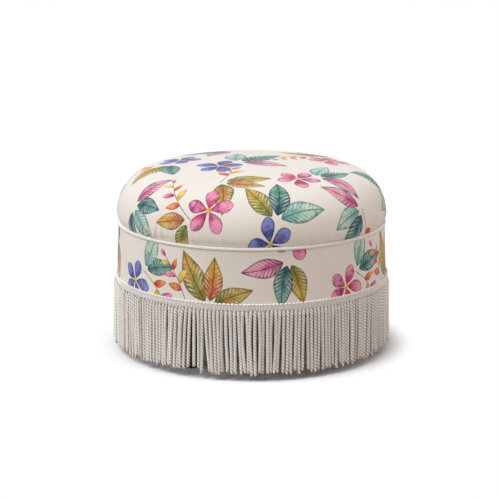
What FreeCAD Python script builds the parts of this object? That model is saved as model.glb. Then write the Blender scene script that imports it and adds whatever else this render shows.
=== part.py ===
# A round upholstered tuffet: a padded plywood drum on four legs, with a crowned top cushion,
# a twisted rope along the seam and a bullion fringe. Millimetres, +Z up, floor at Z = 0.
import FreeCAD, Part

import math
import os

import Sketcher

# Driving dimensions: each is a cell of the sheet named Sizes, and every piece is bound to them.
SIZES = [
    # Legs, glides and the hardware that holds them
    ("glide_diameter", 28.0),
    ("glide_thickness", 4.0),
    ("glide_edge", 1.5),
    ("nail_head_diameter", 10.0),
    ("nail_head_thickness", 1.2),
    ("nail_recess", 0.4),
    ("nail_shank_diameter", 3.0),
    ("nail_in_leg", 14.0),
    ("leg_length", 137.0),
    ("leg_diameter", 36.0),
    ("leg_foot_diameter", 32.0),
    ("leg_edge", 2.0),
    ("leg_inset", 47.0),
    ("bolt_diameter", 8.0),
    ("bolt_in_leg", 38.0),
    ("bolt_chamfer", 1.0),
    ("leg_block_side", 64.0),
    ("leg_block_thickness", 15.0),
    ("tee_nut_flange_diameter", 22.0),
    ("tee_nut_flange_thickness", 1.5),
    ("tee_nut_barrel_diameter", 10.0),
    ("tee_nut_end_gap", 3.0),
    # Drum frame
    ("board_radius", 287.0),
    ("base_board_thickness", 15.0),
    ("top_board_thickness", 18.0),
    ("posts_between_legs", 2),
    ("post_width", 40.0),
    ("post_depth", 25.0),
    ("post_height", 115.0),
    ("wall_thickness", 3.0),
    ("screw_length", 45.0),
    ("screw_shank_diameter", 4.0),
    ("screw_head_diameter", 8.0),
    ("screw_head_height", 2.6),
    ("screw_recess_depth", 1.6),
    ("screw_recess_diameter", 3.0),
    ("screw_tip", 4.0),
    # Top cushion
    ("cover_thickness", 1.2),
    ("top_wadding_thickness", 10.0),
    ("dome_overhang", 11.7),
    ("dome_foot_overhang", 5.4),
    ("belly_rise", 23.1),
    ("shoulder_radius", 95.0),
    ("crown_radius", 1345.0),
    ("seam_drop", 4.3),
    ("margin_depth", 24.0),
    # Rope, its lip and the back-tacked edge of the side cover
    ("rope_diameter", 8.0),
    ("lip_thickness", 0.8),
    ("lip_reach", 2.0),
    ("lip_depth", 18.0),
    ("tack_strip_thickness", 1.2),
    ("allowance_depth", 14.5),
    ("fold_gap", 0.2),
    ("band_setback", 2.2),
    # Side padding, hem and dust cover
    ("side_wadding_thickness", 13.3),
    ("band_edge_radius", 8.0),
    ("wadding_step_gap", 1.0),
    ("hem_width", 15.0),
    ("dust_cover_thickness", 0.8),
    ("dust_cover_inset", 3.0),
    # Staples
    ("staple_crown", 10.0),
    ("staple_wire", 0.7),
    ("staple_leg", 12.0),
    ("tack_staple_pitch", 38.0),
    ("dust_staple_pitch", 55.0),
    # Bullion fringe
    ("header_height", 15.0),
    ("header_thickness", 3.0),
    ("header_rise", 12.0),
    ("trim_clearance", 0.1),
    ("cord_diameter", 6.6),
    ("cord_gap", 2.2),
    ("fringe_floor_gap", 18.0),
    ("cord_flare", 1.5),
    ("cord_sway", 5.0),
    ("sway_wave", 216.0),
]

LEG_ANGLES = {"front_right": -45.0, "back_right": 45.0, "back_left": 135.0, "front_left": 225.0}
LEG_COUNT = str(len(LEG_ANGLES))
FULL_TURN = 360.0

doc = FreeCAD.newDocument("Tuffet")
sheet = doc.addObject("Spreadsheet::Sheet", "Sizes")
for row, (alias, size) in enumerate(SIZES, start=1):
    sheet.set(f"A{row}", alias)
    sheet.set(f"B{row}", str(size))
    sheet.setAlias(f"B{row}", alias)
doc.recompute()

# Heights, from the floor up. Each is a formula of the sheet's cells.
LEG_TOP = "(Sizes.glide_thickness + Sizes.leg_length)"
BASE_BOTTOM = f"({LEG_TOP} + Sizes.dust_cover_thickness)"
BASE_TOP = f"({BASE_BOTTOM} + Sizes.base_board_thickness)"
BLOCK_TOP = f"({BASE_TOP} + Sizes.leg_block_thickness)"
POST_TOP = f"({BASE_TOP} + Sizes.post_height)"
BOARD_TOP = f"({POST_TOP} + Sizes.top_board_thickness)"
SEAM = f"({BOARD_TOP} - Sizes.seam_drop)"
BELLY = f"({SEAM} + Sizes.belly_rise)"
MARGIN_BOTTOM = f"({SEAM} - Sizes.margin_depth)"
LIP_BOTTOM = f"({SEAM} - Sizes.lip_depth)"
FOLD_TOP = f"({SEAM} - Sizes.rope_diameter / 2 - Sizes.fold_gap)"
FOLD_UNDER = f"({FOLD_TOP} - Sizes.cover_thickness)"
ALLOWANCE_BOTTOM = f"({FOLD_TOP} - Sizes.allowance_depth)"
HEM_BOTTOM = f"({BASE_BOTTOM} - Sizes.cover_thickness)"
BAND_START = f"({HEM_BOTTOM} + Sizes.band_edge_radius)"
HEADER_BOTTOM = f"({BASE_BOTTOM} + Sizes.header_rise)"
HEADER_TOP = f"({HEADER_BOTTOM} + Sizes.header_height)"

# Radii, from the drum's boards outwards.
WALL_OUTER = "(Sizes.board_radius + Sizes.wall_thickness)"
MARGIN_OUTER = f"({WALL_OUTER} + Sizes.cover_thickness)"
LIP_OUTER = f"({MARGIN_OUTER} + Sizes.lip_thickness)"
ALLOWANCE_OUTER = f"({LIP_OUTER} + Sizes.cover_thickness)"
STRIP_OUTER = f"({ALLOWANCE_OUTER} + Sizes.tack_strip_thickness)"
STAPLE_OUTER = f"({STRIP_OUTER} + Sizes.staple_wire)"
ROPE_INNER = f"({LIP_OUTER} + Sizes.lip_reach)"
ROPE_CIRCLE = f"({ROPE_INNER} + Sizes.rope_diameter / 2)"
BAND_TOP_RADIUS = f"({ROPE_CIRCLE} + Sizes.rope_diameter / 2 - Sizes.band_setback)"
BAND_RADIUS = f"({WALL_OUTER} + Sizes.side_wadding_thickness + Sizes.cover_thickness)"
BAND_EDGE_CENTRE = f"({BAND_RADIUS} - Sizes.band_edge_radius)"
HEM_INNER = "(Sizes.board_radius - Sizes.hem_width)"
DUST_RIM = "(Sizes.board_radius - Sizes.dust_cover_inset)"
BAND_SLOPE = f"(({BAND_RADIUS} - {BAND_TOP_RADIUS}) / ({FOLD_TOP} - {BAND_START}))"
HEADER_LOW = f"({BAND_RADIUS} - {BAND_SLOPE} * ({HEADER_BOTTOM} - {BAND_START}) + Sizes.trim_clearance)"
HEADER_HIGH = f"({HEADER_LOW} - {BAND_SLOPE} * Sizes.header_height)"
CORD_CIRCLE = f"({BAND_RADIUS} + Sizes.trim_clearance + Sizes.cord_diameter / 2)"
DOME_RADIUS = f"({WALL_OUTER} + Sizes.dome_overhang)"
DOME_FOOT = f"({WALL_OUTER} + Sizes.dome_foot_overhang)"
LEG_CIRCLE = "(Sizes.board_radius - Sizes.leg_inset)"

# Posts stand inside the wall, so that their outer corners touch it, and evenly between the legs.
POST_COUNT = f"{LEG_COUNT} * Sizes.posts_between_legs"
POST_ANGLE = f"({LEG_ANGLES['back_right']} + {FULL_TURN / 2} / ({POST_COUNT}))"
POST_OUTER = "sqrt(Sizes.board_radius * Sizes.board_radius - Sizes.post_width * Sizes.post_width / 4)"
POST_CENTRE = f"({POST_OUTER} - Sizes.post_depth / 2)"
POST_PLACE = (f"{POST_CENTRE} * cos({POST_ANGLE})", f"{POST_CENTRE} * sin({POST_ANGLE})")
LEG_PLACE = tuple(f"{LEG_CIRCLE} * {part}({LEG_ANGLES['back_right']})" for part in ("cos", "sin"))

# Below its widest point the dome tucks in to its foot along one arc.
TUCK_DEPTH = f"({DOME_RADIUS} - {DOME_FOOT})"
TUCK_FALL = "(Sizes.belly_rise - Sizes.seam_drop)"
TUCK_RADIUS = f"(({TUCK_DEPTH} * {TUCK_DEPTH} + {TUCK_FALL} * {TUCK_FALL}) / (2 * {TUCK_DEPTH}))"

# The dome's crown is an arc about a point on the axis, tangent to its shoulder arc.
SHOULDER_CENTRE = f"({DOME_RADIUS} - Sizes.shoulder_radius)"
CROWN_SINE = f"({SHOULDER_CENTRE} / (Sizes.crown_radius - Sizes.shoulder_radius))"
CROWN_COSINE = f"sqrt(1 - {CROWN_SINE} * {CROWN_SINE})"
CROWN_CENTRE = f"({BELLY} - (Sizes.crown_radius - Sizes.shoulder_radius) * {CROWN_COSINE})"

nodes = {}


def number(formula):
    """A formula's value with the sheet's present sizes."""
    return float(sheet.evalExpression(formula))


def keep(name, obj):
    """Gives a finished sub-part its own name and puts it on the list of files to write."""
    obj.Label = name
    nodes[name] = obj
    return obj


def origin_plane(body, role):
    return next(f for f in body.Origin.OriginFeatures if f.Role == role)


def place_point(sketch, geometry, position, point):
    """Ties one end of a sketch edge to two formulas, measured from the sketch's origin."""
    for kind, formula, axis in (("DistanceX", point[0], -2), ("DistanceY", point[1], -1)):
        if formula == "0":
            sketch.addConstraint(Sketcher.Constraint("PointOnObject", geometry, position, axis))
            continue
        index = sketch.addConstraint(
            Sketcher.Constraint(kind, -1, 1, geometry, position, number(formula))
        )
        sketch.setExpression(f"Constraints[{index}]", formula)


def draw_outline(sketch, outline):
    """A closed outline of corners (r, z) joined by straight edges. An edge that is an arc is
    written between its two corners as ("arc", radius, centre_r, centre_z, sense), where sense
    is 1 for counter-clockwise and -1 for clockwise."""
    corners = [item for item in outline if item[0] != "arc"]
    arcs = {}
    corner_count = 0
    for item in outline:
        if item[0] == "arc":
            arcs[corner_count - 1] = item
        else:
            corner_count += 1
    flat = [FreeCAD.Vector(number(r), number(z), 0) for r, z in corners]
    up = FreeCAD.Vector(0, 0, 1)
    ends = []
    for k, start in enumerate(flat):
        end = flat[(k + 1) % len(flat)]
        if k not in arcs:
            geometry = sketch.addGeometry(Part.LineSegment(start, end), False)
            ends.append((geometry, 1, 2))
            continue
        _, radius, centre_r, centre_z, sense = arcs[k]
        centre = FreeCAD.Vector(number(centre_r), number(centre_z), 0)
        begin, finish = (start, end) if sense > 0 else (end, start)
        angles = [math.atan2(p.y - centre.y, p.x - centre.x) for p in (begin, finish)]
        circle = Part.Circle(centre, up, number(radius))
        geometry = sketch.addGeometry(Part.ArcOfCircle(circle, angles[0], angles[1]), False)
        ends.append((geometry, 1, 2) if sense > 0 else (geometry, 2, 1))
        index = sketch.addConstraint(Sketcher.Constraint("Radius", geometry, number(radius)))
        sketch.setExpression(f"Constraints[{index}]", radius)
    for k, (geometry, first, last) in enumerate(ends):
        following, following_first, _ = ends[(k + 1) % len(ends)]
        sketch.addConstraint(
            Sketcher.Constraint("Coincident", geometry, last, following, following_first)
        )
        place_point(sketch, geometry, first, corners[k])


def turned_body(name, outline):
    """A body turned about its own Z axis from an outline drawn in its XZ plane."""
    body = doc.addObject("PartDesign::Body", name)
    sketch = body.newObject("Sketcher::SketchObject", name + "_outline")
    sketch.AttachmentSupport = [(origin_plane(body, "XZ_Plane"), "")]
    sketch.MapMode = "FlatFace"
    draw_outline(sketch, outline)
    turned = body.newObject("PartDesign::Revolution", name + "_turned")
    turned.Profile = sketch
    turned.ReferenceAxis = (sketch, ["V_Axis"])
    turned.Angle = FULL_TURN
    sketch.Visibility = False
    body.Tip = turned
    return body


def bore(body, name, radius, height, bottom, place, count):
    """A ring of round holes cut in a body. The first stands at place, an (x, y) pair."""
    cut = body.newObject("PartDesign::SubtractiveCylinder", name)
    cut.AttachmentSupport = [(origin_plane(body, "XY_Plane"), "")]
    cut.MapMode = "FlatFace"
    cut.setExpression("Radius", radius)
    cut.setExpression("Height", height)
    cut.setExpression("AttachmentOffset.Base.x", place[0])
    cut.setExpression("AttachmentOffset.Base.y", place[1])
    cut.setExpression("AttachmentOffset.Base.z", bottom)
    return ring_of(body, cut, name + "_ring", count)


def countersink(body, name, low_radius, high_radius, bottom, place, count):
    """A ring of conical seats for screw heads. The first stands at place, an (x, y) pair."""
    cut = body.newObject("PartDesign::SubtractiveCone", name)
    cut.AttachmentSupport = [(origin_plane(body, "XY_Plane"), "")]
    cut.MapMode = "FlatFace"
    cut.setExpression("Radius1", low_radius)
    cut.setExpression("Radius2", high_radius)
    cut.setExpression("Height", "Sizes.screw_head_height")
    cut.setExpression("AttachmentOffset.Base.x", place[0])
    cut.setExpression("AttachmentOffset.Base.y", place[1])
    cut.setExpression("AttachmentOffset.Base.z", bottom)
    return ring_of(body, cut, name + "_ring", count)


def ring_of(body, feature, name, count):
    """Repeats a feature evenly round the body's Z axis."""
    doc.recompute()
    ring = body.newObject("PartDesign::PolarPattern", name)
    ring.Originals = [feature]
    ring.Axis = (origin_plane(body, "Z_Axis"), [""])
    ring.Angle = FULL_TURN
    ring.setExpression("Occurrences", count)
    body.Tip = ring
    doc.recompute()
    return ring


def disc_body(name, radius, thickness, bottom):
    """A round board: a circle on the XY plane, padded up from its underside."""
    body = doc.addObject("PartDesign::Body", name)
    sketch = body.newObject("Sketcher::SketchObject", name + "_circle")
    sketch.AttachmentSupport = [(origin_plane(body, "XY_Plane"), "")]
    sketch.MapMode = "FlatFace"
    sketch.setExpression("AttachmentOffset.Base.z", bottom)
    circle = sketch.addGeometry(
        Part.Circle(FreeCAD.Vector(0, 0, 0), FreeCAD.Vector(0, 0, 1), number(radius)), False
    )
    sketch.addConstraint(Sketcher.Constraint("Coincident", circle, 3, -1, 1))
    index = sketch.addConstraint(Sketcher.Constraint("Radius", circle, number(radius)))
    sketch.setExpression(f"Constraints[{index}]", radius)
    pad = body.newObject("PartDesign::Pad", name + "_thickness")
    pad.Profile = sketch
    pad.setExpression("Length", thickness)
    sketch.Visibility = False
    body.Tip = pad
    doc.recompute()
    return body


def cylinder(name, radius, height, bottom):
    solid = doc.addObject("Part::Cylinder", name)
    solid.setExpression("Radius", radius)
    solid.setExpression("Height", height)
    solid.setExpression("Placement.Base.z", bottom)
    return solid


def ring_wall(name, inner, outer, bottom, top):
    """An upright ring between two radii and two heights."""
    cut = doc.addObject("Part::Cut", name)
    cut.Base = cylinder(name + "_outside", outer, f"{top} - {bottom}", bottom)
    cut.Tool = cylinder(name + "_inside", inner, f"{top} - {bottom}", bottom)
    return cut


def group(name, solids):
    """Separate solids of identical small pieces under one name."""
    feature = doc.addObject("Part::Feature", name)
    feature.Shape = Part.makeCompound(solids)
    return keep(name, feature)


def stapled(name, piece, *staple_groups):
    """The piece with the holes that its staples' legs go through."""
    for k, staples in enumerate(staple_groups):
        cut = doc.addObject("Part::Cut", f"{name}_pierced_{k + 1}")
        cut.Base = piece
        cut.Tool = staples
        piece = cut
    return keep(name, piece)


def around(shape, count, first_angle=0.0):
    """Copies of a shape, evenly spaced about the Z axis."""
    copies = []
    for k in range(count):
        copy = shape.copy()
        copy.rotate(FreeCAD.Vector(0, 0, 0), FreeCAD.Vector(0, 0, 1), first_angle + k * FULL_TURN / count)
        copies.append(copy)
    return copies


def solid_of_revolution(points):
    """A solid turned about Z from plain (r, z) corners, for pieces that are copied in groups."""
    wire = Part.makePolygon([FreeCAD.Vector(r, 0, z) for r, z in points + points[:1]])
    return Part.Face(wire).revolve(FreeCAD.Vector(0, 0, 0), FreeCAD.Vector(0, 0, 1), FULL_TURN)


def dome_top(inset):
    """The dome's outline down to its widest point, set in by a layer's depth: apex, crown arc,
    shoulder arc and widest point."""
    crown = f"(Sizes.crown_radius - {inset})"
    return [
        ("0", f"{CROWN_CENTRE} + {crown}"),
        ("arc", crown, "0", CROWN_CENTRE, -1),
        (f"{crown} * {CROWN_SINE}", f"{CROWN_CENTRE} + {crown} * {CROWN_COSINE}"),
        ("arc", f"(Sizes.shoulder_radius - {inset})", SHOULDER_CENTRE, BELLY, -1),
        (f"{DOME_RADIUS} - {inset}", BELLY),
    ]


def dome_tuck(inset):
    """The arc below the widest point, and the foot where it meets the top board's height."""
    tuck = f"({TUCK_RADIUS} - {inset})"
    centre = f"({DOME_RADIUS} - {TUCK_RADIUS})"
    return [
        ("arc", tuck, centre, BELLY, -1),
        (f"{centre} + sqrt({tuck} * {tuck} - {TUCK_FALL} * {TUCK_FALL})", BOARD_TOP),
    ]


def reverse_outline(outline):
    """The same outline walked the other way, with its arcs' senses turned."""
    return [(*item[:4], -item[4]) if item[0] == "arc" else item for item in reversed(outline)]


def top_cushion():
    """Foam block, wadding over it, and the cover, pulled down and tucked in at the seam."""
    cover = "Sizes.cover_thickness"
    foam = dome_top("(Sizes.cover_thickness + Sizes.top_wadding_thickness)")
    foam += [(WALL_OUTER, BOARD_TOP)]
    under_cover = dome_top(cover) + dome_tuck(cover)
    keep("top_foam", turned_body("foam_body", foam + [("0", BOARD_TOP)]))
    keep("top_wadding", turned_body("wadding_body", under_cover + reverse_outline(foam)))
    margin = [
        (MARGIN_OUTER, SEAM),
        (MARGIN_OUTER, MARGIN_BOTTOM),
        (WALL_OUTER, MARGIN_BOTTOM),
        (WALL_OUTER, SEAM),
    ]
    outside = dome_top("0") + dome_tuck("0")
    return turned_body("top_cover_body", outside + margin + reverse_outline(under_cover))


def frame_boards():
    """The drum's two plywood boards, with seats for the screws and holes for the leg bolts."""
    shank = "Sizes.screw_shank_diameter / 2"
    head = "Sizes.screw_head_diameter / 2"
    through = "Sizes.top_board_thickness"
    top = disc_body("top_board_body", "Sizes.board_radius", through, POST_TOP)
    bore(top, "top_holes", shank, through, POST_TOP, POST_PLACE, POST_COUNT)
    seat = f"{BOARD_TOP} - Sizes.screw_head_height"
    countersink(top, "top_seats", shank, head, seat, POST_PLACE, POST_COUNT)
    through = "Sizes.base_board_thickness"
    base = disc_body("base_board_body", "Sizes.board_radius", through, BASE_BOTTOM)
    bore(base, "base_holes", shank, through, BASE_BOTTOM, POST_PLACE, POST_COUNT)
    countersink(base, "base_seats", head, shank, BASE_BOTTOM, POST_PLACE, POST_COUNT)
    bore(base, "bolt_holes", "Sizes.bolt_diameter / 2", through, BASE_BOTTOM, LEG_PLACE, LEG_COUNT)
    return top, base


def frame_posts():
    """Upright pine blocks between the boards, each with a pilot hole at both ends."""
    count = round(number(POST_COUNT))
    first = number(POST_ANGLE)
    for k in range(count):
        angle = first + k * FULL_TURN / count
        block = doc.addObject("Part::Box", f"post_block_{k + 1}")
        block.setExpression("Length", "Sizes.post_depth")
        block.setExpression("Width", "Sizes.post_width")
        block.setExpression("Height", "Sizes.post_height")
        block.setExpression("Placement.Base.x", f"{POST_CENTRE} - Sizes.post_depth / 2")
        block.setExpression("Placement.Base.y", "-Sizes.post_width / 2")
        block.setExpression("Placement.Base.z", BASE_TOP)
        pilots = []
        for end, depth in (
            ("low", "Sizes.screw_length - Sizes.base_board_thickness"),
            ("high", "Sizes.screw_length - Sizes.top_board_thickness"),
        ):
            pilot = doc.addObject("Part::Cylinder", f"pilot_{end}_{k + 1}")
            pilot.setExpression("Radius", "Sizes.screw_shank_diameter / 2")
            pilot.setExpression("Height", depth)
            pilot.setExpression("Placement.Base.x", POST_CENTRE)
            pilot.setExpression("Placement.Base.z", BASE_TOP if end == "low" else f"{POST_TOP} - ({depth})")
            pilots.append(pilot)
        holes = doc.addObject("Part::MultiFuse", f"pilots_{k + 1}")
        holes.Shapes = pilots
        post = doc.addObject("Part::Cut", f"post_{k + 1}")
        post.Base = block
        post.Tool = holes
        post.Placement = FreeCAD.Placement(
            FreeCAD.Vector(0, 0, 0), FreeCAD.Rotation(FreeCAD.Vector(0, 0, 1), angle)
        )
        keep(f"frame_post_{k + 1}", post)


def frame_screws():
    """Countersunk screws down through the top board and up through the base board."""
    shank = number("Sizes.screw_shank_diameter / 2")
    head = number("Sizes.screw_head_diameter / 2")
    recess = number("Sizes.screw_recess_diameter / 2")
    depth = number("Sizes.screw_recess_depth")
    length = number("Sizes.screw_length")
    centre = FreeCAD.Vector(number(POST_CENTRE), 0, 0)
    screw = solid_of_revolution(
        [
            (0, -depth),
            (recess, -depth),
            (recess, 0),
            (head, 0),
            (shank, -number("Sizes.screw_head_height")),
            (shank, -length + number("Sizes.screw_tip")),
            (0, -length),
        ]
    )
    count = round(number(POST_COUNT))
    first = number(POST_ANGLE)
    high = screw.copy()
    high.translate(centre + FreeCAD.Vector(0, 0, number(BOARD_TOP)))
    group("top_board_screws", around(high, count, first))
    low = screw.copy()
    low.rotate(FreeCAD.Vector(0, 0, 0), FreeCAD.Vector(1, 0, 0), FULL_TURN / 2)
    low.translate(centre + FreeCAD.Vector(0, 0, number(BASE_BOTTOM)))
    group("base_board_screws", around(low, count, first))


def side_layers():
    """Hardboard wall, wadding over it and the printed band, back-tacked under the rope and
    turned in under the base board."""
    keep("side_wadding", turned_body("side_wadding_body", [
        (WALL_OUTER, BASE_BOTTOM),
        (BAND_EDGE_CENTRE, BASE_BOTTOM),
        ("arc", "Sizes.band_edge_radius - Sizes.cover_thickness", BAND_EDGE_CENTRE, BAND_START, 1),
        (f"{BAND_RADIUS} - Sizes.cover_thickness", BAND_START),
        (f"{BAND_TOP_RADIUS} - Sizes.cover_thickness", FOLD_UNDER),
        (STAPLE_OUTER, FOLD_UNDER),
        (STAPLE_OUTER, f"{MARGIN_BOTTOM} - Sizes.wadding_step_gap"),
        (WALL_OUTER, f"{MARGIN_BOTTOM} - Sizes.wadding_step_gap"),
    ]))
    wall = ring_wall("wall_ring", "Sizes.board_radius", WALL_OUTER, BASE_BOTTOM, BOARD_TOP)
    cover = turned_body("side_cover_body", [
        (HEM_INNER, HEM_BOTTOM),
        (BAND_EDGE_CENTRE, HEM_BOTTOM),
        ("arc", "Sizes.band_edge_radius", BAND_EDGE_CENTRE, BAND_START, 1),
        (BAND_RADIUS, BAND_START),
        (BAND_TOP_RADIUS, FOLD_TOP),
        (LIP_OUTER, FOLD_TOP),
        (LIP_OUTER, ALLOWANCE_BOTTOM),
        (ALLOWANCE_OUTER, ALLOWANCE_BOTTOM),
        (ALLOWANCE_OUTER, FOLD_UNDER),
        (f"{BAND_TOP_RADIUS} - Sizes.cover_thickness", FOLD_UNDER),
        (f"{BAND_RADIUS} - Sizes.cover_thickness", BAND_START),
        ("arc", "Sizes.band_edge_radius - Sizes.cover_thickness", BAND_EDGE_CENTRE, BAND_START, -1),
        (BAND_EDGE_CENTRE, BASE_BOTTOM),
        (HEM_INNER, BASE_BOTTOM),
    ])
    return wall, cover


def rope_and_lip():
    """The rope round the seam, the tape lip sewn to it, and the card strip behind the band."""
    rope = doc.addObject("Part::Torus", "rope_ring")
    rope.setExpression("Radius1", ROPE_CIRCLE)
    rope.setExpression("Radius2", "Sizes.rope_diameter / 2")
    rope.setExpression("Placement.Base.z", SEAM)
    keep("rope_piping", rope)
    lip = turned_body("lip_body", [
        (MARGIN_OUTER, LIP_BOTTOM),
        (LIP_OUTER, LIP_BOTTOM),
        (LIP_OUTER, f"{SEAM} - Sizes.lip_thickness / 2"),
        (ROPE_INNER, f"{SEAM} - Sizes.lip_thickness / 2"),
        (ROPE_INNER, f"{SEAM} + Sizes.lip_thickness / 2"),
        (LIP_OUTER, f"{SEAM} + Sizes.lip_thickness / 2"),
        (MARGIN_OUTER, f"{SEAM} - Sizes.lip_thickness / 2"),
    ])
    strip = ring_wall("strip_ring", ALLOWANCE_OUTER, STRIP_OUTER, ALLOWANCE_BOTTOM, FOLD_UNDER)
    return lip, strip


def dust_cover_body():
    """The black cloth under the base board. Its rim slopes down at 45 degrees to pass under the
    band's turned-in hem."""
    step = "Sizes.cover_thickness"
    upper_bend = f"{HEM_INNER} - Sizes.trim_clearance"
    lower_bend = f"{upper_bend} - Sizes.dust_cover_thickness * (sqrt(2) - 1)"
    body = turned_body("dust_body", [
        ("0", LEG_TOP),
        (f"{lower_bend} - {step}", LEG_TOP),
        (lower_bend, f"{LEG_TOP} - {step}"),
        (DUST_RIM, f"{LEG_TOP} - {step}"),
        (DUST_RIM, HEM_BOTTOM),
        (upper_bend, HEM_BOTTOM),
        (f"{upper_bend} - {step}", BASE_BOTTOM),
        ("0", BASE_BOTTOM),
    ])
    thickness = "Sizes.dust_cover_thickness"
    bore(body, "dust_holes", "Sizes.bolt_diameter / 2", thickness, LEG_TOP, LEG_PLACE, LEG_COUNT)
    return body


def staple_shape():
    """A staple with its crown along Y at Z = 0 and its legs pointing up."""
    half = number("Sizes.staple_crown") / 2
    wire = number("Sizes.staple_wire")
    leg = number("Sizes.staple_leg")
    corners = [
        (-half, -wire),
        (half, -wire),
        (half, leg),
        (half - wire, leg),
        (half - wire, 0),
        (-half + wire, 0),
        (-half + wire, leg),
        (-half, leg),
    ]
    points = [FreeCAD.Vector(-wire / 2, y, z) for y, z in corners + corners[:1]]
    return Part.Face(Part.makePolygon(points)).extrude(FreeCAD.Vector(wire, 0, 0))


def staples():
    """Staples through the tack strip into the top board, and through the dust cover's rim
    into the base board."""
    pointing_in = staple_shape()
    pointing_in.rotate(FreeCAD.Vector(0, 0, 0), FreeCAD.Vector(0, 1, 0), -FULL_TURN / 4)
    level = number(f"({POST_TOP} + {FOLD_UNDER}) / 2")
    pointing_in.translate(FreeCAD.Vector(number(STRIP_OUTER), 0, level))
    girth = 2 * math.pi * number(STRIP_OUTER)
    count = round(girth / number("Sizes.tack_staple_pitch"))
    tack = group("tack_strip_staples", around(pointing_in, count))
    pointing_up = staple_shape()
    radius = number(f"({HEM_INNER} + {DUST_RIM}) / 2")
    pointing_up.translate(FreeCAD.Vector(radius, 0, number(f"{LEG_TOP} - Sizes.cover_thickness")))
    count = round(2 * math.pi * radius / number("Sizes.dust_staple_pitch"))
    dust = group("dust_cover_staples", around(pointing_up, count))
    return tack, dust


def leg_set():
    """Four turned legs with nailed glides, and the blocks, bolts and tee nuts that hold them."""
    leg = "Sizes.leg_diameter / 2"
    foot = "Sizes.leg_foot_diameter / 2"
    bolt = "Sizes.bolt_diameter / 2"
    shank = "Sizes.nail_shank_diameter / 2"
    head = "Sizes.nail_head_diameter / 2"
    glide = "Sizes.glide_diameter / 2"
    floor = "Sizes.glide_thickness"
    head_top = "Sizes.nail_recess + Sizes.nail_head_thickness"
    for name, angle in LEG_ANGLES.items():
        turn = FreeCAD.Rotation(FreeCAD.Vector(0, 0, 1), angle)
        x = f"{LEG_CIRCLE} * cos({angle})"
        y = f"{LEG_CIRCLE} * sin({angle})"
        post = turned_body(f"leg_body_{name}", [
            (shank, floor),
            (f"{foot} - Sizes.leg_edge", floor),
            ("arc", "Sizes.leg_edge", f"{foot} - Sizes.leg_edge", f"{floor} + Sizes.leg_edge", 1),
            (foot, f"{floor} + Sizes.leg_edge"),
            (leg, LEG_TOP),
            (bolt, LEG_TOP),
            (bolt, f"{LEG_TOP} - Sizes.bolt_in_leg"),
            ("0", f"{LEG_TOP} - Sizes.bolt_in_leg"),
            ("0", f"{floor} + Sizes.nail_in_leg"),
            (shank, f"{floor} + Sizes.nail_in_leg"),
        ])
        pad = turned_body(f"glide_body_{name}", [
            (head, "0"),
            (f"{glide} - Sizes.glide_edge", "0"),
            ("arc", "Sizes.glide_edge", f"{glide} - Sizes.glide_edge", "Sizes.glide_edge", 1),
            (glide, "Sizes.glide_edge"),
            (glide, "Sizes.glide_thickness"),
            (shank, "Sizes.glide_thickness"),
            (shank, head_top),
            (head, head_top),
        ])
        for kind, body in (("leg", post), ("leg_glide", pad)):
            body.setExpression("Placement.Base.x", x)
            body.setExpression("Placement.Base.y", y)
            keep(f"{kind}_{name}", body)
        block = doc.addObject("Part::Box", f"block_{name}")
        block.setExpression("Length", "Sizes.leg_block_side")
        block.setExpression("Width", "Sizes.leg_block_side")
        block.setExpression("Height", "Sizes.leg_block_thickness")
        block.setExpression("Placement.Base.x", f"{LEG_CIRCLE} - Sizes.leg_block_side / 2")
        block.setExpression("Placement.Base.y", "-Sizes.leg_block_side / 2")
        block.setExpression("Placement.Base.z", BASE_TOP)
        barrel_hole = cylinder(
            f"barrel_hole_{name}",
            "Sizes.tee_nut_barrel_diameter / 2",
            "Sizes.leg_block_thickness",
            BASE_TOP,
        )
        barrel_hole.setExpression("Placement.Base.x", LEG_CIRCLE)
        bored = doc.addObject("Part::Cut", f"bored_block_{name}")
        bored.Base = block
        bored.Tool = barrel_hole
        bored.Placement = FreeCAD.Placement(FreeCAD.Vector(0, 0, 0), turn)
        keep(f"leg_block_{name}", bored)


def leg_hardware():
    """Hanger bolts, tee nuts and glide nails, one of each to a leg."""
    out = FreeCAD.Vector(number(LEG_CIRCLE), 0, 0)
    first = LEG_ANGLES["back_right"]
    count = len(LEG_ANGLES)
    bolt = number("Sizes.bolt_diameter / 2")
    chamfer = number("Sizes.bolt_chamfer")
    low = number(f"{LEG_TOP} - Sizes.bolt_in_leg")
    high = number(f"{BLOCK_TOP} + Sizes.tee_nut_flange_thickness")
    rod = solid_of_revolution(
        [(0, low), (bolt - chamfer, low), (bolt, low + chamfer), (bolt, high), (0, high)]
    )
    rod.translate(out)
    group("hanger_bolts", around(rod, count, first))
    flange = number("Sizes.tee_nut_flange_diameter / 2")
    barrel = number("Sizes.tee_nut_barrel_diameter / 2")
    seat = number(BLOCK_TOP)
    nut_bottom = number(f"{BASE_TOP} + Sizes.tee_nut_end_gap")
    nut = solid_of_revolution(
        [
            (bolt, nut_bottom),
            (barrel, nut_bottom),
            (barrel, seat),
            (flange, seat),
            (flange, high),
            (bolt, high),
        ]
    )
    nut.translate(out)
    group("tee_nuts", around(nut, count, first))
    head = number("Sizes.nail_head_diameter / 2")
    shank = number("Sizes.nail_shank_diameter / 2")
    head_low = number("Sizes.nail_recess")
    head_high = head_low + number("Sizes.nail_head_thickness")
    tip = number("Sizes.glide_thickness + Sizes.nail_in_leg")
    nail = solid_of_revolution(
        [
            (0, head_low),
            (head, head_low),
            (head, head_high),
            (shank, head_high),
            (shank, tip - shank * 2),
            (0, tip),
        ]
    )
    nail.translate(out)
    group("glide_nails", around(nail, count, first))


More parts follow.
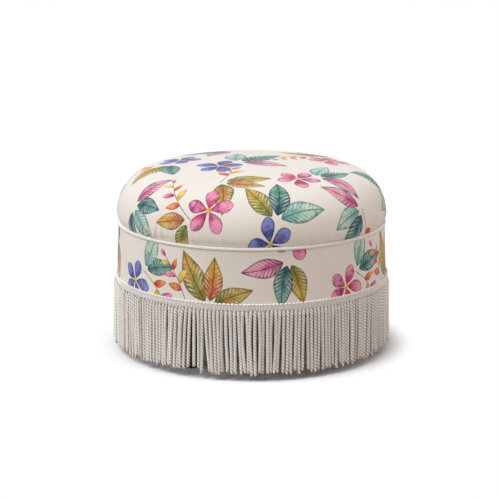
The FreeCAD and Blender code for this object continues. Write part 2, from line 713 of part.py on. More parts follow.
def cord_shape(radius, lean):
    """A hanging cord: a rod with a round end, from the origin along the vector lean."""
    length = lean.Length - radius
    middle = radius * math.sqrt(0.5)
    corners = [
        FreeCAD.Vector(0, 0, 0),
        FreeCAD.Vector(radius, 0, 0),
        FreeCAD.Vector(radius, 0, length),
        FreeCAD.Vector(0, 0, length + radius),
    ]
    edges = [
        Part.LineSegment(corners[0], corners[1]).toShape(),
        Part.LineSegment(corners[1], corners[2]).toShape(),
        Part.Arc(corners[2], FreeCAD.Vector(middle, 0, length + middle), corners[3]).toShape(),
        Part.LineSegment(corners[3], corners[0]).toShape(),
    ]
    face = Part.Face(Part.Wire(edges))
    cord = face.revolve(FreeCAD.Vector(0, 0, 0), FreeCAD.Vector(0, 0, 1), FULL_TURN)
    cord.Placement = FreeCAD.Placement(
        FreeCAD.Vector(0, 0, 0), FreeCAD.Rotation(FreeCAD.Vector(0, 0, 1), lean)
    )
    return cord


def fringe():
    """The woven header and the bullion cords that hang from it. The cords sway a little in
    waves round the drum, so that they bunch and part, and flare outwards at the bottom."""
    keep("fringe_header", turned_body("header_body", [
        (HEADER_LOW, HEADER_BOTTOM),
        (f"{HEADER_LOW} + Sizes.header_thickness", HEADER_BOTTOM),
        (f"{HEADER_HIGH} + Sizes.header_thickness", HEADER_TOP),
        (HEADER_HIGH, HEADER_TOP),
    ]))
    radius = number("Sizes.cord_diameter / 2")
    circle = number(CORD_CIRCLE)
    girth = 2 * math.pi * circle
    count = round(girth / number("Sizes.cord_diameter + Sizes.cord_gap"))
    waves = round(girth / number("Sizes.sway_wave"))
    flare = number("Sizes.cord_flare")
    sway = number("Sizes.cord_sway")
    top = number(HEADER_BOTTOM)
    drop = top - number("Sizes.fringe_floor_gap")
    cords = []
    low_ends = []
    for k in range(count):
        angle = 2 * math.pi * k / count
        aside = sway * math.sin(waves * angle)
        lean = FreeCAD.Vector(flare, aside, -drop)
        # A leaning cord's flat top rises on one side, so the cord hangs lower by that rise.
        rise = radius * math.hypot(flare, aside) / lean.Length
        cord = cord_shape(radius, lean)
        cord.translate(FreeCAD.Vector(circle, 0, top - rise))
        cord.rotate(FreeCAD.Vector(0, 0, 0), FreeCAD.Vector(0, 0, 1), math.degrees(angle))
        cords.append(cord)
        end = FreeCAD.Vector(circle + flare, aside, 0)
        low_ends.append(FreeCAD.Rotation(FreeCAD.Vector(0, 0, 1), math.degrees(angle)).multVec(end))
    gaps = [(low_ends[k] - low_ends[k - 1]).Length - 2 * radius for k in range(count)]
    print(f"{count} fringe cords in {waves} waves, least gap at their ends {min(gaps):.2f} mm")
    group("fringe_cords", cords)


def build():
    top_cover = top_cushion()
    top_board, base_board = frame_boards()
    frame_posts()
    frame_screws()
    wall, side_cover = side_layers()
    lip, strip = rope_and_lip()
    dust_cover = dust_cover_body()
    tack, dust = staples()
    stapled("top_cover", top_cover, tack)
    stapled("top_board", top_board, tack)
    stapled("base_board", base_board, dust)
    stapled("side_wall", wall, tack)
    stapled("side_cover", side_cover, tack, dust)
    stapled("piping_lip", lip, tack)
    stapled("tack_strip", strip, tack)
    stapled("dust_cover", dust_cover, dust)
    leg_set()
    leg_hardware()
    fringe()


def check_and_write():
    """Stops on any failed object or shape, then writes one STEP file for each sub-part."""
    doc.recompute()
    failed = [o.Label for o in doc.Objects if {"Invalid", "Error"} & set(o.State)]
    if failed:
        raise RuntimeError(f"failed objects: {failed}")
    for name, obj in nodes.items():
        if obj.Shape.isNull() or not obj.Shape.isValid() or not obj.Shape.Solids:
            raise RuntimeError(f"{name} has no valid solid")
    os.makedirs("parts", exist_ok=True)
    for name, obj in nodes.items():
        obj.Shape.exportStep(f"parts/{name}.step")
        litres = obj.Shape.Volume / 1e6
        print(f"{name}: {len(obj.Shape.Solids)} solids, {litres:.4f} l")


build()
check_and_write()
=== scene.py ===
# %% [markdown]
# # A fringed tuffet
# A tuffet is a padded drum on short legs. This one has a crowned seat under printed cloth, a
# twisted rope along the seam, a band of the same cloth round the drum, and a long bullion fringe.
# The hard parts come in from the construction model. This lesson makes the soft ones and gives
# every part its finish. All lengths are in metres, with the floor at zero.

# %% Load the frame
import math

import bpy
import numpy as np
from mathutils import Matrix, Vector


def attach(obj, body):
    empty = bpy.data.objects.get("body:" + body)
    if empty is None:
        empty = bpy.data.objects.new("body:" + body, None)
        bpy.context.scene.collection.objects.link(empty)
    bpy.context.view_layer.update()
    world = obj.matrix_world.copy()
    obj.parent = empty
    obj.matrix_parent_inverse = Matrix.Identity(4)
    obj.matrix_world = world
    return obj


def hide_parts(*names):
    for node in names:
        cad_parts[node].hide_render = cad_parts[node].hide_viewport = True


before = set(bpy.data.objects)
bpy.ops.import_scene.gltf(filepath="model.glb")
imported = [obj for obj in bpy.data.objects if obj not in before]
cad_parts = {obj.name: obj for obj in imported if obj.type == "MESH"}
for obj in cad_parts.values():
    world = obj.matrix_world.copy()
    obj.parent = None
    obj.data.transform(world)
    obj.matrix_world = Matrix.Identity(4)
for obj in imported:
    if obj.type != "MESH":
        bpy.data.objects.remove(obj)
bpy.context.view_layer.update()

MM = 0.001
FULL_TURN = 2 * math.pi

# %% [markdown]
# ## The camera
# The photograph was taken with a long lens from a little above the seat. A camera is a distance,
# a turn round the object and a tilt; the shift moves the picture's middle to where the photograph
# has it. The lamps are placed by the same turn and tilt, so one function serves both.

# %% Camera
PICTURE = 500
FOCAL_PIXELS = 1792.49
SENSOR = 36.0
SHIFT_PIXELS = -1.5
FARTHEST = 100.0
CAMERA_TURN = -12.0
CAMERA_TILT = 13.457
CAMERA_DISTANCE = 4.0603
CAMERA_TARGET = Vector((0.0, 0.0, 0.21346))


def direction(turn, tilt):
    """The way to a place turned from the front and tilted up from the floor, in degrees."""
    turn = math.radians(turn)
    tilt = math.radians(tilt)
    level = math.cos(tilt)
    return Vector((math.sin(turn) * level, -math.cos(turn) * level, math.sin(tilt)))


def put_in_scene(name, data):
    made = bpy.data.objects.new(name, data)
    bpy.context.scene.collection.objects.link(made)
    return made


camera = put_in_scene("photo_camera", bpy.data.cameras.new("photo_camera"))
bpy.context.scene.camera = camera
towards = direction(CAMERA_TURN, CAMERA_TILT)
camera.location = CAMERA_TARGET + towards * CAMERA_DISTANCE
camera.rotation_euler = (-towards).to_track_quat("-Z", "Y").to_euler()
camera.data.sensor_width = SENSOR
camera.data.lens = FOCAL_PIXELS / PICTURE * SENSOR
camera.data.shift_x = SHIFT_PIXELS / PICTURE
camera.data.clip_end = FARTHEST
print("camera: lens", round(camera.data.lens, 2), "mm")

# %% [markdown]
# ## Shader sums
# A finish is a sum of patterns: noise, stripes, ramps. Wired by hand, each sum is a row of Math
# nodes. Here a socket is wrapped in a small class, so that the sum is written as Python and the
# nodes make themselves.

# %% Shader sums
def srgb(red, green, blue):
    """A colour as a screen shows it, 0 to 255, as the linear colour that a shader works with."""
    values = [c / 255 for c in (red, green, blue)]
    linear = [c / 12.92 if c <= 0.04045 else ((c + 0.055) / 1.055) ** 2.4 for c in values]
    return (*linear, 1.0)


def maths(operation, backwards=False):
    """A method that makes one Math node. Its inputs are the value itself and what is given with it."""
    def method(*values):
        inputs = dict(enumerate(values[::-1] if backwards else values))
        return values[0].recipe.node("Math", {"operation": operation}, inputs)

    return method


class Shade:
    """A socket's value, which can be added, multiplied and so on like a number."""

    def __init__(self, recipe, socket):
        self.recipe = recipe
        self.socket = socket

    __add__ = __radd__ = maths("ADD")
    __sub__ = maths("SUBTRACT")
    __rsub__ = maths("SUBTRACT", backwards=True)
    __mul__ = __rmul__ = maths("MULTIPLY")
    __abs__ = maths("ABSOLUTE")
    sine = maths("SINE")
    over = maths("GREATER_THAN")
    fraction = maths("FRACT")
    most = maths("MAXIMUM")

    def wave(self, pitch=1.0):
        """A sine wave that repeats at each pitch."""
        return (self * (FULL_TURN / pitch)).sine()


class Recipe:
    """A node tree, with one method that makes any node and short ones for the usual patterns."""

    def __init__(self, tree):
        self.tree = tree

    def node(self, kind, settings=None, inputs=None, output=0):
        """Any node: its settings, its inputs as values or other sockets, and which output to give."""
        made = self.tree.nodes.new("ShaderNode" + kind)
        for key, value in (settings or {}).items():
            if key == "stops":
                made.color_ramp.interpolation = value[0]
                while len(made.color_ramp.elements) < len(value[1]):
                    made.color_ramp.elements.new(1.0)
                for element, (place, colour) in zip(made.color_ramp.elements, value[1]):
                    element.position = place
                    element.color = colour
            else:
                setattr(made, key, value)
        for key, value in (inputs or {}).items():
            if isinstance(value, Shade):
                self.tree.links.new(value.socket, made.inputs[key])
            else:
                made.inputs[key].default_value = value
        return Shade(self, made.outputs[output])

    def place(self):
        return self.node("TexCoord", output=3)

    def uv_place(self):
        """The texture places that skin() writes."""
        return self.node("UVMap", {"uv_map": "cloth"})

    def stretched(self, scale, source=None):
        inputs = {0: source or self.place(), 3: scale}
        return self.node("Mapping", {}, inputs)

    def noise(self, scale, detail=2.0, source=None, roughness=0.5):
        inputs = {0: source or self.place(), 2: scale, 3: detail, 4: roughness}
        return self.node("TexNoise", {}, inputs)

    def attribute(self, name, output=0):
        return self.node("Attribute", {"attribute_name": name}, {}, output)

    def parts(self, vector):
        made = self.node("SeparateXYZ", {}, {0: vector})
        sockets = made.socket.node.outputs
        return [Shade(self, sockets[axis]) for axis in range(3)]

    def smooth(self, value, low, high):
        """0 below low, 1 above high and a soft step between them."""
        settings = {"interpolation_type": "SMOOTHSTEP"}
        return self.node("MapRange", settings, {0: value, 1: low, 2: high})

    def mix(self, first, second, factor):
        inputs = {0: factor, 6: first, 7: second}
        return self.node("Mix", {"data_type": "RGBA"}, inputs, 2)

    def table(self, value, colours):
        """One colour from a row of them: value runs from 0 to 1 along the row."""
        stops = [(i / len(colours), colour) for i, colour in enumerate(colours)]
        return self.node("ValToRGB", {"stops": ("CONSTANT", stops)}, {0: value})


class Finish(Recipe):
    """A material. Its constants go straight on the shader's sockets, its patterns by finished()."""

    def __init__(self, name, **constants):
        self.material = bpy.data.materials.new(name)
        self.material.use_nodes = True
        super().__init__(self.material.node_tree)
        self.shader = self.tree.nodes["Principled BSDF"]
        for socket, value in constants.items():
            self.shader.inputs[socket.replace("_", " ")].default_value = value

    def finished(self, colour, height, depth, strength, roughness=None):
        """The material with a colour, a relief some part of a millimetre deep, given in metres,
        and roughness if that varies."""
        relief = self.node("Bump", {}, {"Strength": strength, "Distance": depth, "Height": height})
        for socket, value in (("Base Color", colour), ("Normal", relief), ("Roughness", roughness)):
            if value:
                self.tree.links.new(value.socket, self.shader.inputs[socket])
        return self.material


print("shader sums ready")

# %% [markdown]
# ## Skins from rings
# Every soft piece here is a skin over rings of points: a cushion is rings round its axis, a rope
# strand is small rings along a path. One function joins the rings to closed surfaces, so a piece
# is only the sum that places its points.

# %% Skins from rings
def skin(name, rings, stands_for, wrap=False, uv=None):
    """Closed surfaces over rings of points, in an array (shells, rows, columns, 3) of millimetres.
    Each ring closes on itself. With wrap the last ring joins the first; otherwise the middle of
    the end rings closes them. uv gives texture places in metres for a row and a column."""
    shells, rows, columns, _ = rings.shape
    row, column = np.meshgrid(
        np.arange(rows if wrap else rows - 1), np.arange(columns), indexing="ij"
    )
    at_row = np.stack([row, row, row + 1, row + 1], -1).reshape(-1, 4)
    at_column = np.stack([column, column + 1, column + 1, column], -1).reshape(-1, 4)
    points = rings.reshape(shells, rows * columns, 3)
    quads = at_row % rows * columns + at_column % columns
    # The sign of the volume says whether the faces look outward.
    a, b, c, d = (points[0][quads[:, k]] for k in range(4))
    volume = (np.cross(a, b) * c + np.cross(a, c) * d).sum()
    order = [0, 1, 2, 3] if volume > 0 else [3, 2, 1, 0]
    at_row, at_column, quads = at_row[:, order], at_column[:, order], quads[:, order]
    corner_rows = [at_row.ravel()]
    corner_columns = [at_column.ravel()]
    triangles = np.zeros((0, 3), int)
    if not wrap:
        step = np.arange(columns)
        ends = rings[:, [0, -1]].mean(2)
        points = np.concatenate([points, ends], 1)
        caps = []
        for end, end_row in enumerate((0, rows - 1)):
            centre = rows * columns + end
            first, second = (step + 1, step) if (end == 0) == (volume > 0) else (step, step + 1)
            corners = [end_row * columns + first % columns, end_row * columns + second % columns]
            caps.append(np.stack([*corners, np.full(columns, centre)], -1))
            corner_rows.append(np.full(3 * columns, end_row))
            corner_columns.append(np.stack([first, second, step + 0.5], -1).ravel())
        triangles = np.concatenate(caps)
    moves = np.arange(shells)[:, None, None] * points.shape[1]
    all_quads = (quads[None] + moves).reshape(-1, 4).tolist()
    all_triangles = (triangles[None] + moves).reshape(-1, 3).tolist()
    mesh = bpy.data.meshes.new(name)
    mesh.from_pydata((points.reshape(-1, 3) * MM).tolist(), [], all_quads + all_triangles)
    if uv is not None:
        quad_corners = at_row.size
        u, v = uv(np.concatenate(corner_rows), np.concatenate(corner_columns))
        pair = np.stack([u, v], -1)
        places = [np.tile(part, (shells, 1)) for part in (pair[:quad_corners], pair[quad_corners:])]
        layer = mesh.uv_layers.new(name="cloth")
        layer.data.foreach_set("uv", np.concatenate(places).astype(np.float32).ravel())
    mesh.shade_smooth()
    piece = put_in_scene(name, mesh)
    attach(piece, "root")
    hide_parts(*stands_for)
    print(name, "has", shells * (2 * len(quads) + len(triangles)), "triangles")
    return piece


UPRIGHT = np.array([0, 0, 1.0])


def angles(columns):
    return np.arange(columns) * FULL_TURN / columns


def from_axis(turn):
    """The unit direction away from the upright axis at each turn round it."""
    return np.stack([np.cos(turn), np.sin(turn), 0 * turn], -1)


def round_axis(radius, height, columns):
    """Rings round the upright axis: radius and height are given for each row, and may also
    differ from column to column."""
    turn = angles(columns)
    shape = (len(radius), columns)
    radius = np.broadcast_to(np.asarray(radius, float).reshape(len(radius), -1), shape)
    height = np.broadcast_to(np.asarray(height, float).reshape(len(height), -1), shape)
    return np.stack([radius * np.cos(turn), radius * np.sin(turn), height], -1)[None]


def arc(centre, radius, start, end, count):
    """Points (radius, height) of a circle's arc from one angle to another, in degrees."""
    turn = np.radians(np.linspace(start, end, count))
    return np.stack([centre[0] + radius * np.cos(turn), centre[1] + radius * np.sin(turn)], -1)


def line(start, end, count):
    """Points (radius, height) evenly along a straight line."""
    return np.linspace(start, end, count)


# %% [markdown]
# ## The printed cloth's design
# Upholstery cloth is printed flat and then stretched over the form. So the design is laid out on
# flat cloth, and each point of a piece knows where on the flat cloth it came from. A motif is a
# leaf or petal shape with its own length and breadth coordinates. Those vary smoothly, so a mesh
# of a few millimetres carries them exactly, and the shader draws crisp edges and veins from them.
# The design is a generic one of leaves, five-petalled flowers and bud twigs.

# %% Motifs on flat cloth
COLOURS = 10
TEAL, OLIVE, ROSE, AUTUMN, MINT, BLUE, PINK, CORAL, OCHRE, STEM = range(COLOURS)
LAYERS = 8
PETALS = 5
TWIG_BUDS = 6
# How a motif's breadth grows and falls along it: petals are broadest near the tip, leaves near
# the base.
PETAL_FORM = (1.45, 0.62)
EYE_FORM = (1.0, 0.55)
LEAF_FORM = (0.8, 1.1)
FORMS = {BLUE: PETAL_FORM, PINK: PETAL_FORM, OCHRE: EYE_FORM}
# Two motifs of one layer stay this many millimetres apart, and a stem's coordinates reach this far.
MOTIF_MARGIN = 5.5
STEM_REACH = 8
FAR_FROM_ALL = -1e3
NO_MOTIF = (-9, 0, 9, 0)


class Design:
    """Motifs on flat cloth, in millimetres: place, turn in degrees, length, half breadth. A bend
    is how far the tip stands off sideways, as a share of the length."""

    def __init__(self, seed):
        self.motifs = []
        self.chance = np.random.default_rng(seed)

    def motif(self, x, y, turn, length, half, colour, bend=0.0):
        self.motifs.append((x, y, math.radians(turn), length, half, colour, bend, self.chance.random()))

    def flower(self, x, y, turn, size, colour):
        """Broad petals round an eye."""
        for k in range(PETALS):
            petal_turn = turn + 360 / PETALS * k + self.chance.uniform(-6, 6)
            length = size * self.chance.uniform(0.84, 1.06)
            base = self.ahead(x, y, petal_turn, size * 0.06)
            bend = self.chance.uniform(-0.15, 0.15)
            self.motif(*base, petal_turn, length, size * 0.31, colour, bend)
        eye = self.ahead(x, y, turn + 180, size * 0.13)
        self.motif(*eye, turn, size * 0.26, size * 0.13, OCHRE)

    def twig(self, x, y, turn, length, colours, bend=-0.3):
        """A thin bent stem with buds that get smaller towards its tip."""
        self.motif(x, y, turn, length, 0.9, STEM, bend)
        last = TWIG_BUDS - 1
        for k in range(TWIG_BUDS):
            along = 0.35 + 0.65 * k / last
            px, py = self.ahead(x, y, turn, length * along)
            px, py = self.ahead(px, py, turn + 90, bend * along * along * length)
            slope = math.degrees(math.atan(2 * bend * along))
            side = (-1) ** k if k < last else 0
            size = 40 - 3.6 * k
            bud_turn = turn + slope + side * 40
            self.motif(px, py, bud_turn, size, size * 0.23, colours[k % len(colours)], side * 0.2)

    def spray(self, x, y, turn, size, leaves, flower=None, buds=None):
        """Broad leaves in a fan from one point, a bud twig between them and a flower behind."""
        count = len(leaves)
        for k, colour in enumerate(leaves):
            away = turn + (k - (count - 1) / 2) * 47 + self.chance.uniform(-6, 6)
            length = size * self.chance.uniform(0.82, 1.12)
            base = self.ahead(x, y, away, size * 0.12)
            bend = self.chance.uniform(0.08, 0.2) * (1 if k % 2 else -1)
            self.motif(*base, away, length, length * 0.23, colour, bend)
        if buds:
            side = 1 if count % 2 else -1
            self.twig(x, y, turn + side * (count * 23 + 22), size * 1.15, buds, side * 0.3)
        if flower is not None:
            self.flower(*self.ahead(x, y, turn + 180, size * 0.44), turn + 30, size * 0.5, flower)

    @staticmethod
    def ahead(x, y, turn, distance):
        turn = math.radians(turn)
        return x + distance * math.cos(turn), y + distance * math.sin(turn)

    def lay_on(self, piece, x, y, period=None):
        """Gives the piece one colour attribute per layer, with each point's gate (above 0 inside a
        motif), place along it, place across it, and colour. Motifs that come near each other go to
        different layers, so no face mixes two of them."""
        layers = [
            {
                "near": np.full(len(x), FAR_FROM_ALL),
                "values": np.tile(np.float32(NO_MOTIF), (len(x), 1)),
                "taken": np.zeros(len(x), bool),
            }
            for _ in range(LAYERS)
        ]
        left_out = 0
        for x0, y0, turn, length, half, colour, bend, tone in self.motifs:
            dx, dy = x - x0, y - y0
            if period:
                dx = (dx + period / 2) % period - period / 2
            along = (dx * math.cos(turn) + dy * math.sin(turn)) / length
            inside = np.clip(along, 0, 1)
            across = (-dx * math.sin(turn) + dy * math.cos(turn)) - bend * inside**2 * length
            beyond = np.abs(along - inside) * length
            if colour == STEM:
                gate = np.minimum(1.0, (STEM_REACH - np.abs(across)) / 4) - beyond / 2
                near = STEM_REACH - np.abs(across) - beyond
            else:
                power, fullness = FORMS.get(colour, LEAF_FORM)
                profile = np.sin(np.pi * inside**power).clip(0) ** fullness
                gate = profile - np.abs(across) / half - beyond / half
                near = gate * half
            reach = near > -MOTIF_MARGIN
            # A flower's eye looks for its place from the top layer down, to lie over the petals.
            order = layers[::-1] if colour == OCHRE else layers
            layer = next((layer for layer in order if not (layer["taken"] & reach).any()), None)
            if layer is None:
                left_out += 1
                continue
            layer["taken"] |= reach
            here = near > layer["near"]
            layer["near"] = np.where(here, near, layer["near"])
            code = (colour + 0.1 + 0.8 * tone) / COLOURS
            value = np.stack([gate, along, across / half, np.full(len(x), code)], -1)
            layer["values"] = np.where(here[:, None], value, layer["values"]).astype(np.float32)
        for k, layer in enumerate(layers):
            made = piece.data.color_attributes.new(f"print_{k}", "FLOAT_COLOR", "POINT")
            made.data.foreach_set("color", layer["values"].ravel())
        print("design on", piece.name, ":", len(self.motifs), "motifs,", left_out, "left out")


# %% [markdown]
# ## The cloth's finish
# The ground is ivory with a faint weave. For each layer of motifs the shader reads the gate and
# turns it into an edge, and the topmost motif gives the coordinates that the paint is worked out
# from: a colour that runs from base to tip, a darker rim, veins, and the uneven wash of
# watercolour.

# %% Printed cloth
GROUND = srgb(234, 228, 219)
GROUND_SHADE = srgb(228, 221, 211)
SLUB_SHADE = srgb(200, 188, 172)
FOLD_PAINTED_SHADE = srgb(150, 138, 122)
PALE_STRIPE = srgb(236, 232, 218)
THREAD_PITCH = 0.0008
FOLD_EDGES = (0.0004, 0.0012)
PALETTE = {
    "base": [(38, 90, 104), (112, 124, 44), (206, 74, 140), (196, 78, 52), (132, 184, 174),
             (44, 58, 136), (190, 38, 100), (200, 46, 50), (214, 164, 56), (88, 106, 100)],
    "tip": [(112, 172, 162), (212, 178, 70), (238, 166, 186), (222, 182, 74), (204, 224, 202),
            (126, 140, 204), (240, 156, 192), (240, 156, 84), (244, 218, 124), (112, 128, 110)],
    "blush": [(70, 130, 96), (190, 112, 48), (70, 120, 112), (118, 132, 50), (84, 142, 138),
              (104, 62, 142), (132, 40, 104), (222, 158, 60), (206, 112, 48), (98, 84, 70)],
    "rim": [(22, 60, 76), (82, 92, 40), (36, 84, 98), (124, 112, 42), (62, 116, 120),
            (36, 46, 116), (160, 28, 84), (170, 42, 42), (170, 114, 44), (78, 94, 92)],
    "vein": [(16, 46, 60), (96, 70, 28), (104, 36, 72), (116, 48, 28), (58, 108, 112),
             (30, 34, 92), (120, 18, 62), (122, 28, 30), (124, 82, 30), (68, 84, 84)],
}


def printed_cloth(name, seam=False):
    """Ivory cloth with the design on it. With seam it has a fold line where its ends meet, pressed in
    and darkened with painted shade.
    """
    sheen = {"Sheen_Weight": 0.25, "Sheen_Roughness": 0.4}
    cloth = Finish(name, Roughness=0.82, Specular_IOR_Level=0.25, **sheen)
    place = cloth.place()
    wobble = cloth.noise(260.0, 3.0, place) - 0.5
    coordinates = cloth.attribute("print_0")
    code = cloth.attribute("print_0", 3)
    cover = None
    for k in range(LAYERS):
        values = cloth.attribute(f"print_{k}")
        gate, along, across = cloth.parts(values)
        edge = cloth.smooth(gate + wobble * 0.10, 0.0, 0.07)
        breadth = cloth.smooth(1.0 - abs(across), 0.0, 0.06)
        inside = edge * breadth
        if cover is None:
            cover = inside
            continue
        chosen = inside.over(0.5)
        coordinates = cloth.mix(coordinates, values, chosen)
        own_code = cloth.attribute(f"print_{k}", 3)
        inputs = {0: chosen, 2: code, 3: own_code}
        code = cloth.node("Mix", {"data_type": "FLOAT"}, inputs)
        cover = cover.most(inside)
    gate, along, across = cloth.parts(coordinates)
    colours = {part: cloth.table(code, [srgb(*c) for c in row]) for part, row in PALETTE.items()}
    not_stem = 1.0 - code.over(STEM / COLOURS)
    leaf = 1.0 - code.over(BLUE / COLOURS)
    wash = cloth.noise(70.0, 4.0, place, 0.6)
    fine = cloth.noise(420.0, 2.0, place)
    run = cloth.smooth(along + (wash - 0.5) * 1.1, 0.1, 0.85)
    paint = cloth.mix(colours["base"], colours["tip"], run)
    bloom = cloth.noise(34.0, 3.0, place, 0.6)
    paint = cloth.mix(paint, colours["blush"], cloth.smooth(bloom, 0.5, 0.68) * not_stem * 0.85)
    slant = along * 11.0 - abs(across) * 2.2 + wobble * 0.5
    stripe = abs(slant.fraction() - 0.5) * 2.0
    pale = cloth.smooth(stripe + fine * 0.5, 0.8, 1.2) * cloth.smooth(abs(across), 0.15, 0.7) * leaf
    paint = cloth.mix(paint, PALE_STRIPE, pale * 0.8)
    rim = 1.0 - cloth.smooth(gate + (wash - 0.5) * 0.35, 0.03, 0.34)
    paint = cloth.mix(paint, colours["rim"], rim * 0.8 * not_stem)
    side_vein = (1.0 - cloth.smooth(stripe, 0.05, 0.22)) * leaf * 0.6
    midrib = 1.0 - cloth.smooth(abs(across) + fine * 0.04, 0.05, 0.11)
    petal_lines = (across * 19.0 + wobble * 2.0).sine()
    streak = cloth.smooth(petal_lines + fine, 0.9, 1.4) * (1.0 - leaf) * 0.35
    veins = side_vein.most(midrib * leaf * 0.85).most(streak)
    paint = cloth.mix(paint, colours["vein"], veins * not_stem)
    strength = (0.8 + fine * 0.35) * (1.0 - (wash - 0.5) * 0.5)
    uneven = cloth.noise(9.0, 3.0, place)
    ground = cloth.mix(GROUND, GROUND_SHADE, uneven)
    flat = cloth.uv_place()
    across_threads, up_threads, _ = cloth.parts(flat)
    weave = across_threads.wave(THREAD_PITCH) * up_threads.wave(THREAD_PITCH)
    slub = cloth.noise(90.0, 2.0, cloth.stretched((22.0, 1.0, 1.0), flat)) - 0.5
    slub = slub + (cloth.noise(90.0, 2.0, cloth.stretched((1.0, 22.0, 1.0), flat)) - 0.5)
    ground = cloth.mix(ground, SLUB_SHADE, cloth.smooth(slub, 0.02, 0.5) * 0.3)
    colour = cloth.mix(ground, paint, cover * strength)
    height = weave * 0.4 + slub * 0.6
    if seam:
        # At the seam the fold is pressed in and painted with shade.
        fold = 1.0 - cloth.smooth(abs(across_threads), *FOLD_EDGES)
        height = height - fold * 4.0
        colour = cloth.mix(colour, FOLD_PAINTED_SHADE, fold * 0.5)
    return cloth.finished(colour, height, 0.00006, 0.6, 0.78 + slub * 0.12)


# %% [markdown]
# ## The seat cushion
# The seat is foam under wadding under cloth, crowned and pulled down tight to the seam. It could
# be puffed up by a cloth simulation, but a tight cover has almost no slack, and the crown's
# curves are known. So it is a profile turned round the axis: a long flat arc, a rounder shoulder,
# the tuck down to the seam. What slack the cloth has is on the bias, where the round form takes
# up more of the weave, and there it falls in fine gathers above the rope.

# %% Seat cushion
CROWN = arc((0.0, -924.2), 1345.0, 89.8, 80.48, 50)
SHOULDER = arc((206.7, 308.6), 95.0, 80.48, 0.0, 42)[1:]
TUCK = np.concatenate([
    arc((270.5, 308.6), 31.2, 0.0, -27.0, 12)[1:],
    [(298.0, 292.4), (297.8, 290.7), (297.0, 289.95)],
])
TO_SEAM = line((297.0, 289.95), (291.2, 286.2), 4)[1:]
MARGIN = line((291.2, 286.2), (291.2, 261.6), 5)[1:]
INSIDE = np.array([
    (290.05, 261.6), (290.05, 275.0), (290.05, 289.9), (280.0, 289.9), (140.0, 289.9), (4.0, 289.9),
])
SEAT_COLUMNS = 840
BIAS_TURNS = (33.0, 123.0, 213.0, 303.0)
GATHERS_ON_BIAS = 24
GATHERS_ELSEWHERE = 64
GATHER_RING = 300.0
GATHER_DEPTH = 3.2


def gathers(turn, rise, seed=5):
    """How far fine gathers push the cloth in or out, in millimetres: each is a narrow groove with
    a low ridge beside it, deepest at the seam and fading up the side."""
    chance = np.random.default_rng(seed)
    places, sizes = [], []
    for bias in BIAS_TURNS:
        places += list(chance.normal(bias, 12.0, GATHERS_ON_BIAS))
        sizes += list(chance.uniform(0.5, 1.0, GATHERS_ON_BIAS))
    places += list(chance.uniform(0, 360, GATHERS_ELSEWHERE))
    sizes += list(chance.uniform(0.15, 0.6, GATHERS_ELSEWHERE))
    total = np.zeros(np.broadcast(turn, rise).shape)
    for place, size in zip(np.radians(places), sizes):
        lean = chance.uniform(-0.12, 0.12)
        width = chance.uniform(2.5, 4.2)
        height = chance.uniform(14.0, 46.0) * size**0.5
        away = (turn - place + np.pi) % FULL_TURN - np.pi
        across = (away * GATHER_RING - lean * rise) / width
        groove = -np.exp(-across**2) + 0.55 * np.exp(-(across - 1.6) ** 2)
        total += size * GATHER_DEPTH * groove * np.exp(-((rise / height) ** 2))
    return total


outer = np.concatenate([CROWN, SHOULDER, TUCK, TO_SEAM, MARGIN])
seam_row = len(CROWN) + len(SHOULDER) + len(TUCK) + len(TO_SEAM) - 1
steps = np.linalg.norm(np.diff(outer, axis=0), axis=1)
cloth_reach = outer[0, 0] + np.concatenate([[0], np.cumsum(steps)])
slope = np.gradient(outer, axis=0)
normal = np.stack([-slope[:, 1], slope[:, 0]], -1) / np.linalg.norm(slope, axis=1)[:, None]
seat_turn = angles(SEAT_COLUMNS)[None]
rise = (cloth_reach[seam_row] - cloth_reach)[:, None]
free = np.clip((rise - 5.0) / 5.0, 0, 1)
push = gathers(seat_turn, rise) * free
push += 0.5 * np.sin(3 * seat_turn + 0.6) * np.sin(rise / 55.0) * free
push += 0.35 * np.sin(7 * seat_turn + rise / 40.0) * free * np.exp(-((rise - 60.0) / 70.0) ** 2)
profile = np.concatenate([outer, INSIDE])
pushed = np.concatenate([push, np.zeros((len(INSIDE), SEAT_COLUMNS))])
facing = np.concatenate([-normal, np.zeros((len(INSIDE), 2))])
seat_rings = round_axis(
    profile[:, :1] + facing[:, :1] * pushed, profile[:, 1:] + facing[:, 1:] * pushed, SEAT_COLUMNS
)
reach_of_row = np.concatenate([cloth_reach, np.full(len(INSIDE), cloth_reach[-1])])


def flat_place(row, column):
    """Where a point of the seat lay on the flat cloth: as far from the middle as the cloth is
    long down to it, in the direction it lies in."""
    turn = column * FULL_TURN / SEAT_COLUMNS
    return reach_of_row[row] * MM * np.cos(turn), reach_of_row[row] * MM * np.sin(turn)


seat = skin(
    "seat_cushion", seat_rings, ("top_cover", "top_wadding", "top_foam"), uv=flat_place
)

# %% Seat design
rows, columns = np.divmod(np.arange(len(profile) * SEAT_COLUMNS), SEAT_COLUMNS)
flat_x, flat_y = flat_place(rows, columns)
flat_x = np.concatenate([flat_x, [0.0, 0.0]]) / MM
flat_y = np.concatenate([flat_y, [0.0, 0.0]]) / MM
seat_design = Design(11)
COOL, WARM, MIXED = (TEAL, MINT, TEAL, ROSE), (OLIVE, AUTUMN, OLIVE), (ROSE, TEAL, MINT)
BUDS = (CORAL, OCHRE, PINK)
